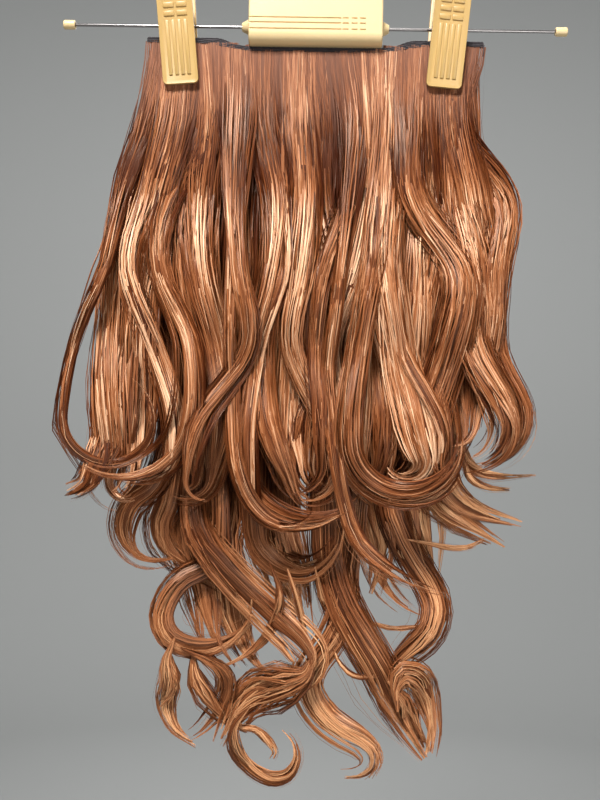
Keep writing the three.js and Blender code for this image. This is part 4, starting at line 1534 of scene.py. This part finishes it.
@dataclass
class Hanger:
    """The hook, grip, rod and end caps, in metres."""

    rod_z: float = -95 * MM
    rod_radius: float = 1.25 * MM
    rod_sides: int = 24
    rod_edge: Edge = Edge(0.4 * MM, 3, 60.0)
    gap: float = 0.3 * MM
    hook_wire: float = 1.75 * MM
    hook_inside: float = 18 * MM
    hook_stem_turn: float = 60.0
    hook_end_angle: float = 205.0
    hook_depth: float = 14 * MM
    hook_sides: int = 20
    hook_steps: tuple[int, int] = (10, 44)
    hook_edge: Edge = Edge(0.9 * MM, 4, 60.0)
    weld: float = 1e-6
    body_corner: Edge = Edge(8 * MM, 8)
    body_bevel: Edge = Edge(1.5 * MM, 3)
    body_edge: Edge = Edge(0.25 * MM, 2, 50.0)
    bore_length: float = 0.2
    boss_radii: tuple[float, float] = (6.5 * MM, 3.2 * MM)
    boss_length: float = 6 * MM
    groove_levels: tuple[float, ...] = (-5.6 * MM, -0.8 * MM, 3.2 * MM)
    groove_height: float = 1.1 * MM
    groove_depth: float = 0.9 * MM
    groove_end: float = 20 * MM
    groove_edge: Edge = Edge(0.3 * MM)
    dash_places: tuple[float, ...] = (23.5 * MM, 30.5 * MM, 37.0 * MM)
    dash_length: float = 4.6 * MM
    cap_edge: Edge = Edge(1.5 * MM, 5, 50.0)
    cap_bore_share: float = 0.8

    def build_body(self) -> Piece:
        """Models the grip: rounded block, grooves, bosses and the bores for hook and rod.

        Returns:
            The grip.
        """
        low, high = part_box("hanger_body")
        low = Vector((low.x + self.boss_length - self.gap, low.y, low.z))
        high = Vector((high.x - self.boss_length + self.gap, high.y, high.z))
        piece = Bench.box("hanger_grip", low, high)
        Bench.pick(piece, "edges", lambda a, b: abs(a.x - b.x) > MM)
        Bench.bevel(piece, self.body_corner)
        Bench.pick(piece, "edges", lambda a, b: abs(a.x - b.x) < NEAR)
        Bench.bevel(piece, self.body_bevel)
        for side, radii in ((-1, self.boss_radii[::-1]), (1, self.boss_radii)):
            middle = (side * (high.x + self.boss_length / 2 - self.gap), 0.0, self.rod_z)
            Bench.combine(piece, Bench.bar("boss", radii, self.boss_length, middle), "UNION")
        for level in self.groove_levels:
            z = self.rod_z + level
            runs = [(low.x - MM, self.groove_end)]
            runs += [(x - self.dash_length / 2, x + self.dash_length / 2) for x in self.dash_places]
            for left, right in runs:
                groove = Bench.box(
                    "groove",
                    (left, low.y - MM, z - self.groove_height / 2),
                    (right, low.y + self.groove_depth, z + self.groove_height / 2),
                )
                Bench.soften(groove, self.groove_edge)
                Bench.combine(piece, groove, "DIFFERENCE")
        wide = (self.rod_radius + self.gap,) * 2
        bore = Bench.bar("bore", wide, self.bore_length, (0, 0, self.rod_z))
        Bench.combine(piece, bore, "DIFFERENCE")
        depth = 2 * self.hook_depth + self.gap
        socket = Bench.bar("socket", (self.hook_wire + self.gap,) * 2, depth, (0, 0, 0))
        Bench.carry(socket, Matrix.Translation((0, 0, high.z)) @ Matrix.Rotation(math.pi / 2, 4, "Y"))
        Bench.combine(piece, socket, "DIFFERENCE")
        Bench.soften(piece, self.body_edge)
        Bench.polish(piece)
        Bench.level(piece)
        return piece

    def build_hook(self) -> Piece:
        """Models the hook: a wire drawn up the stem and spun round the two bends.

        Returns:
            The hook.
        """
        bend = self.hook_inside + self.hook_wire
        turn = math.radians(self.hook_stem_turn)
        stem_top = -self.hook_inside - 2 * bend * math.sin(turn)
        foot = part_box("hanger_body")[1].z - self.hook_depth
        sweep = math.radians(self.hook_end_angle + self.hook_stem_turn)
        stem, crown = self.hook_steps
        bpy.ops.mesh.primitive_circle_add(
            vertices=self.hook_sides, radius=self.hook_wire, location=(0, 0, foot),
        )
        piece = Bench.added("hook_wire")
        Bench.pick(piece, "edges", lambda a, b: True)
        Bench.edit(
            piece,
            Bench.draw_out(0.0, 0.0, stem_top - foot),
            lambda: bpy.ops.mesh.spin(steps=stem, angle=turn, center=(bend, 0, stem_top), axis=(0, -1, 0)),
            lambda: bpy.ops.mesh.spin(
                steps=crown, angle=sweep, center=(0, 0, -self.hook_inside), axis=(0, 1, 0),
            ),
            lambda: bpy.ops.mesh.select_all(action="SELECT"),
            lambda: bpy.ops.mesh.remove_doubles(threshold=self.weld),
            lambda: bpy.ops.mesh.fill_holes(sides=0),
            lambda: bpy.ops.mesh.select_all(action="SELECT"),
            lambda: bpy.ops.mesh.normals_make_consistent(inside=False),
        )
        Bench.soften(piece, self.hook_edge)
        Bench.polish(piece)
        return piece

    def build_rod(self) -> Piece:
        """Models the rod with its ends rounded off.

        Returns:
            The rod.
        """
        low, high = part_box("hanger_rod")
        radii, middle = (self.rod_radius,) * 2, (0, 0, self.rod_z)
        piece = Bench.bar("steel_rod", radii, high.x - low.x, middle, self.rod_sides)
        Bench.soften(piece, self.rod_edge)
        Bench.polish(piece)
        return piece

    def build_cap(self, node: str) -> Piece:
        """Models an end cap: a rounded barrel with a blind bore for the rod.

        Args:
            node: The CAD node that it takes the place of.

        Returns:
            The cap.
        """
        low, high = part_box(node)
        side = math.copysign(1.0, low.x)
        middle = Vector(((low.x + high.x) / 2, 0, self.rod_z))
        radius = (high.z - low.z) / 2
        length = high.x - low.x
        piece = Bench.bar(f"{node}_barrel", (radius, radius), length, middle)
        Bench.pick(piece, "faces", lambda place, normal: normal.x * side < -FACING)
        bore = self.rod_radius + self.gap
        Bench.edit(
            piece,
            lambda: bpy.ops.mesh.inset(thickness=radius - bore, depth=0.0),
            Bench.draw_out(side * self.cap_bore_share * length, 0.0, 0.0),
        )
        Bench.soften(piece, self.cap_edge)
        Bench.polish(piece)
        return piece

    def build(self, plastic: bpy.types.Material, steel: bpy.types.Material) -> None:
        """Builds and dresses the whole hanger.

        Args:
            plastic: The material of the grip and caps.
            steel: The material of the hook and rod.
        """
        dress(self.build_body(), plastic, "cream_plastic", "hanger_body")
        dress(self.build_hook(), steel, "steel", "hanger_hook")
        dress(self.build_rod(), steel, "steel", "hanger_rod")
        for node in ("end_cap_left", "end_cap_right"):
            dress(self.build_cap(node), plastic, "cream_plastic", node)


class Jaw(Enum):
    """Which side of the weft a jaw grips. The value is its half turn about Z."""

    FRONT = 0.0
    BACK = math.pi


@dataclass
class Clip:
    """A clip: two jaws that hang on the rod and grip the weft, in metres."""

    name: str
    x: float
    rod_z: float = -95 * MM
    tilt: float = 7.0
    toe_in: float = 4.8
    width: float = 28 * MM
    top: float = 38 * MM
    foot: float = -48.5 * MM
    thickness: float = 2.6 * MM
    corner: Edge = Edge(3.5 * MM, 5)
    plate_edge: Edge = Edge(0.55 * MM, 3, 30.0)
    relief: float = 0.9 * MM
    border: float = 2.4 * MM
    lip_height: float = 4 * MM
    lip_depth: float = 1.2 * MM
    lip_edge: Edge = Edge(0.4 * MM)
    hair_face: float = 3.7 * MM
    rib_width: float = 3 * MM
    rib_edge: Edge = Edge(0.55 * MM)
    rib_places: tuple[float, ...] = (-7.2 * MM, -2.4 * MM, 2.4 * MM, 7.2 * MM)
    rib_span: tuple[float, float] = (-41.5 * MM, 0.3 * MM)
    bump_places: tuple[float, ...] = (-5 * MM, 5 * MM)
    bump_levels: tuple[float, ...] = (5.3 * MM, 11.8 * MM, 18.3 * MM)
    bump_size: tuple[float, float] = (8.3 * MM, 3.9 * MM)
    cheek_x: tuple[float, float] = (7.5 * MM, 10.2 * MM)
    cheek_thickness: float = 2 * MM
    cheek_radius: float = 4.6 * MM
    cheek_hole: float = 2.4 * MM
    cheek_root: float = 13 * MM
    cheek_edge: Edge = Edge(0.25 * MM, 2, 50.0)

    def stand_off(self) -> float:
        """How far the plate stands off the rod at the rod's height."""
        lean = math.radians(self.tilt)
        return self.hair_face + self.lip_depth * math.cos(lean) - self.foot * math.sin(lean)

    def plate(self, name: str) -> Piece:
        """Models the plate with its raised border.

        Args:
            name: The plate's name.

        Returns:
            The plate.
        """
        half, front = self.width / 2, -self.thickness - self.relief
        piece = Bench.box(name, (-half, front, self.foot), (half, 0.0, self.top))
        Bench.pick(piece, "edges", lambda a, b: abs(a.y - b.y) > MM)
        Bench.bevel(piece, self.corner)
        Bench.pick(piece, "faces", lambda place, normal: normal.y < -FACING)
        Bench.edit(
            piece,
            lambda: bpy.ops.mesh.inset(thickness=self.border, depth=0.0),
            lambda: bpy.ops.transform.translate(value=(0.0, self.relief, 0.0)),
        )
        Bench.soften(piece, self.plate_edge)
        return piece

    def ribs(self) -> list[Piece]:
        """Models the long ribs and the short bumps above them.

        Returns:
            The ribs and bumps.
        """
        back, front = -self.thickness + MM, -self.thickness - self.relief
        spots = [(x, self.rib_width, *self.rib_span) for x in self.rib_places]
        wide, high = self.bump_size
        spots += [(x, wide, z - high / 2, z + high / 2) for x in self.bump_places for z in self.bump_levels]
        pieces = []
        for x, across, low, top in spots:
            rib = Bench.box("rib", (x - across / 2, front, low), (x + across / 2, back, top))
            Bench.pick(rib, "edges", lambda a, b: min(a.y, b.y) < front + NEAR)
            Bench.bevel(rib, self.rib_edge)
            pieces.append(rib)
        return pieces

    def cheek(self, x: float) -> Piece:
        """Models one cheek, from the plate to the ring round the rod.

        Args:
            x: Where its left side lies across the jaw.

        Returns:
            The cheek.
        """
        lean = math.radians(self.tilt)
        rod = Vector((0.0, self.stand_off() * math.cos(lean), -self.stand_off() * math.sin(lean)))
        piece = Bench.box(
            "cheek", (x, -MM, -self.cheek_root), (x + self.cheek_thickness, rod.y, self.cheek_root),
        )
        Bench.pick(piece, "faces", lambda place, normal: normal.y > FACING)
        Bench.edit(
            piece,
            lambda: bpy.ops.transform.resize(value=(1, 1, self.cheek_radius / self.cheek_root)),
            lambda: bpy.ops.transform.translate(value=(0, 0, rod.z)),
        )
        middle = (x + self.cheek_thickness / 2, rod.y, rod.z)
        ring = Bench.bar("ring", (self.cheek_radius,) * 2, self.cheek_thickness, middle)
        Bench.combine(piece, ring, "UNION")
        hole = Bench.bar("hole", (self.cheek_hole,) * 2, 2 * self.cheek_thickness, middle)
        Bench.combine(piece, hole, "DIFFERENCE")
        Bench.soften(piece, self.cheek_edge)
        return piece

    def build_jaw(self, jaw: Jaw) -> Piece:
        """Models a jaw at the rod, then leans it, turns it and hangs it in its place.

        Args:
            jaw: Which of the two jaws.

        Returns:
            The jaw.
        """
        kind = jaw.name.lower()
        piece = self.plate(f"{self.name}_{kind}_plate")
        half = self.width / 2 - self.corner.width
        lip = Bench.box("lip", (-half, -MM, self.foot), (half, self.lip_depth, self.foot + self.lip_height))
        Bench.soften(lip, self.lip_edge)
        inner = self.cheek_x[0] if jaw is Jaw.FRONT else self.cheek_x[1]
        parts = [lip, self.cheek(inner), self.cheek(-inner - self.cheek_thickness), *self.ribs()]
        Bench.join(piece, parts)
        lean = Matrix.Rotation(math.radians(self.tilt), 4, "X")
        off = Matrix.Translation((0.0, -self.stand_off(), 0.0))
        turn = Matrix.Rotation(jaw.value, 4, "Z")
        toe = Matrix.Rotation(math.copysign(math.radians(self.toe_in), self.x), 4, "Y")
        hang = Matrix.Translation((self.x, 0.0, self.rod_z))
        Bench.carry(piece, hang @ toe @ turn @ off @ lean)
        Bench.polish(piece)
        return piece

    def build(self, plastic: bpy.types.Material) -> None:
        """Builds and dresses both jaws.

        Args:
            plastic: The material of the jaws.
        """
        for jaw in Jaw:
            node = f"{self.name}_{jaw.name.lower()}_jaw"
            dress(self.build_jaw(jaw), plastic, "cream_plastic", node)


@dataclass
class Studio:
    """Grey floor that sweeps up all round, soft lights and the camera, in metres.

    Each of the lights has a name, a place, a point that it faces, a size and a power in watts.
    """

    floor_z: float = -1.4
    floor_radius: float = 2.2
    floor_sides: int = 96
    floor_colour: Colour = (0.30, 0.305, 0.30)
    floor_roughness: float = 0.9
    wall_radius: float = 3.0
    wall_top: float = 2.2
    sweep_steps: int = 8
    camera_place: Point = (-0.0080, -0.750, -0.3924)
    view_height: float = 0.640
    roll: float = -0.85
    sensor: float = 36.0
    air_colour: Colour = (1.0, 0.99, 0.975)
    air_strength: float = 0.12
    lights: tuple[tuple[str, Point, Point, float, float], ...] = (
        ("key_light", (-0.4, -1.4, 1.2), (0.0, 0.0, -0.4), 0.5, 76.0),
        ("fill_light", (0.9, -1.6, -0.7), (0.0, 0.0, -0.5), 1.2, 15.0),
        ("top_light", (0.1, -0.3, 1.4), (0.0, 0.0, -0.36), 0.8, 8.0),
        ("back_light", (0.5, 1.7, 0.7), (0.0, 0.0, -0.36), 1.4, 10.0),
        ("wall_light", (0.0, 1.2, 0.2), (0.0, 3.0, -0.35), 1.6, 26.0),
    )

    def build_floor(self) -> None:
        """Makes the floor and draws its rim up into a round wall."""
        bpy.ops.mesh.primitive_circle_add(
            vertices=self.floor_sides, radius=self.floor_radius, fill_type="NGON",
        )
        floor = Bench.added("studio_floor")
        floor.location.z = self.floor_z
        Bench.settle(floor)
        Bench.pick(floor, "edges", lambda a, b: True)
        reach = self.wall_radius - self.floor_radius
        angles = [step * math.pi / 2 / self.sweep_steps for step in range(self.sweep_steps + 1)]
        radii = [self.floor_radius + reach * math.sin(angle) for angle in angles]
        heights = [reach * (1 - math.cos(angle)) for angle in angles]
        steps: list[Callable[[], Any]] = []
        for step in range(self.sweep_steps):
            grow = radii[step + 1] / radii[step]
            steps.append(Bench.draw_out(0.0, 0.0, heights[step + 1] - heights[step]))
            steps.append(lambda grow=grow: bpy.ops.transform.resize(value=(grow, grow, 1.0)))
        steps.append(Bench.draw_out(0.0, 0.0, self.wall_top - self.floor_z - reach))
        steps.append(lambda: bpy.ops.mesh.select_all(action="SELECT"))
        steps.append(lambda: bpy.ops.mesh.normals_make_consistent(inside=True))
        Bench.edit(floor, *steps)
        Bench.polish(floor, ROUND_ANGLE)
        shader = Shader("studio_floor")
        sockets = {"Base Color": self.floor_colour, "Roughness": self.floor_roughness}
        floor.data.materials.append(shader.finish(sockets))

    def build_light(
        self, name: str, place: Point, aim: Point, size: float, power: float,
    ) -> None:
        """Adds a soft square light that faces a point.

        Args:
            name: The light's name.
            place: Where it stands.
            aim: The point that it faces.
            size: The length of its sides.
            power: Its power in watts.
        """
        light = bpy.data.lights.new(name, "AREA")
        light.energy = power
        light.size = size
        lamp = bpy.data.objects.new(name, light)
        lamp.location = place
        lamp.rotation_euler = (Vector(aim) - Vector(place)).to_track_quat("-Z", "Y").to_euler()
        lamp.visible_camera = False
        bpy.context.collection.objects.link(lamp)

    def build_camera(self) -> None:
        """Adds the camera, level with the middle of the hair."""
        camera = bpy.data.cameras.new("camera")
        camera.sensor_width = self.sensor
        camera.lens = self.sensor * -self.camera_place[1] / self.view_height
        viewer = bpy.data.objects.new("camera", camera)
        viewer.location = self.camera_place
        viewer.rotation_euler = (math.pi / 2, math.radians(self.roll), 0.0)
        bpy.context.collection.objects.link(viewer)
        bpy.context.scene.camera = viewer

    def build(self) -> None:
        """Builds the whole studio."""
        self.build_camera()
        self.build_floor()
        for row in self.lights:
            self.build_light(*row)
        world = bpy.data.worlds.new("studio_air")
        world.use_nodes = True
        background = world.node_tree.nodes["Background"]
        background.inputs["Color"].default_value = (*self.air_colour, 1.0)
        background.inputs["Strength"].default_value = self.air_strength
        bpy.context.scene.world = world
        bpy.context.scene.view_settings.view_transform = "Standard"


def hanging_lock(row: Sequence[float]) -> HangingLock:
    """Reads a row of the table of hanging locks."""
    drop, turn, radius, width, depth, *places = row
    return HangingLock(width, depth, drop, turn, radius, tuple(places))


def ringlet(row: Sequence[float]) -> Ringlet:
    """Reads a row of a table of ringlets."""
    width, depth, *places = row
    return Ringlet(width, depth, tuple(zip(places[::2], places[1::2])))


def main() -> None:
    """Builds every piece in order."""
    plastic = CreamPlastic().material()
    steel = DrawnSteel().material()
    thread = BlackThread().material()
    Hanger().build(plastic, steel)
    shaded_clip_plastic = SHADED_CLIP_PLASTIC.material()
    for name, x in (("clip_left", -110 * MM), ("clip_right", 106 * MM)):
        Clip(name, x).build(shaded_clip_plastic)
    Studio().build()
    Weft(
        name="front_weft",
        tier=Tier.FRONT,
        band=Band("front_weft", -107.2, 6.0, 98.0, 45.0, thread_end=11.0),
        locks=tuple([*map(hanging_lock, FRONT_ROWS), *map(ringlet, FRONT_RINGLETS)]),
        strand_step=(26.0, 18.0),
        finish=FRONT_HAIR,
        slot="auburn_hair",
        strands_per_mm=4.9,
        seed=11,
    ).build(thread)
    Weft(
        name="rear_weft",
        tier=Tier.REAR,
        band=Band("rear_weft", -105.4, 7.8, 80.0, 53.0),
        locks=tuple(map(ringlet, REAR_RINGLETS)),
        strand_step=(34.0, 20.0),
        finish=REAR_HAIR,
        slot="auburn_hair_ends",
        strands_per_mm=3.3,
        seed=23,
    ).build(thread)


if __name__ == "__main__":
    main()
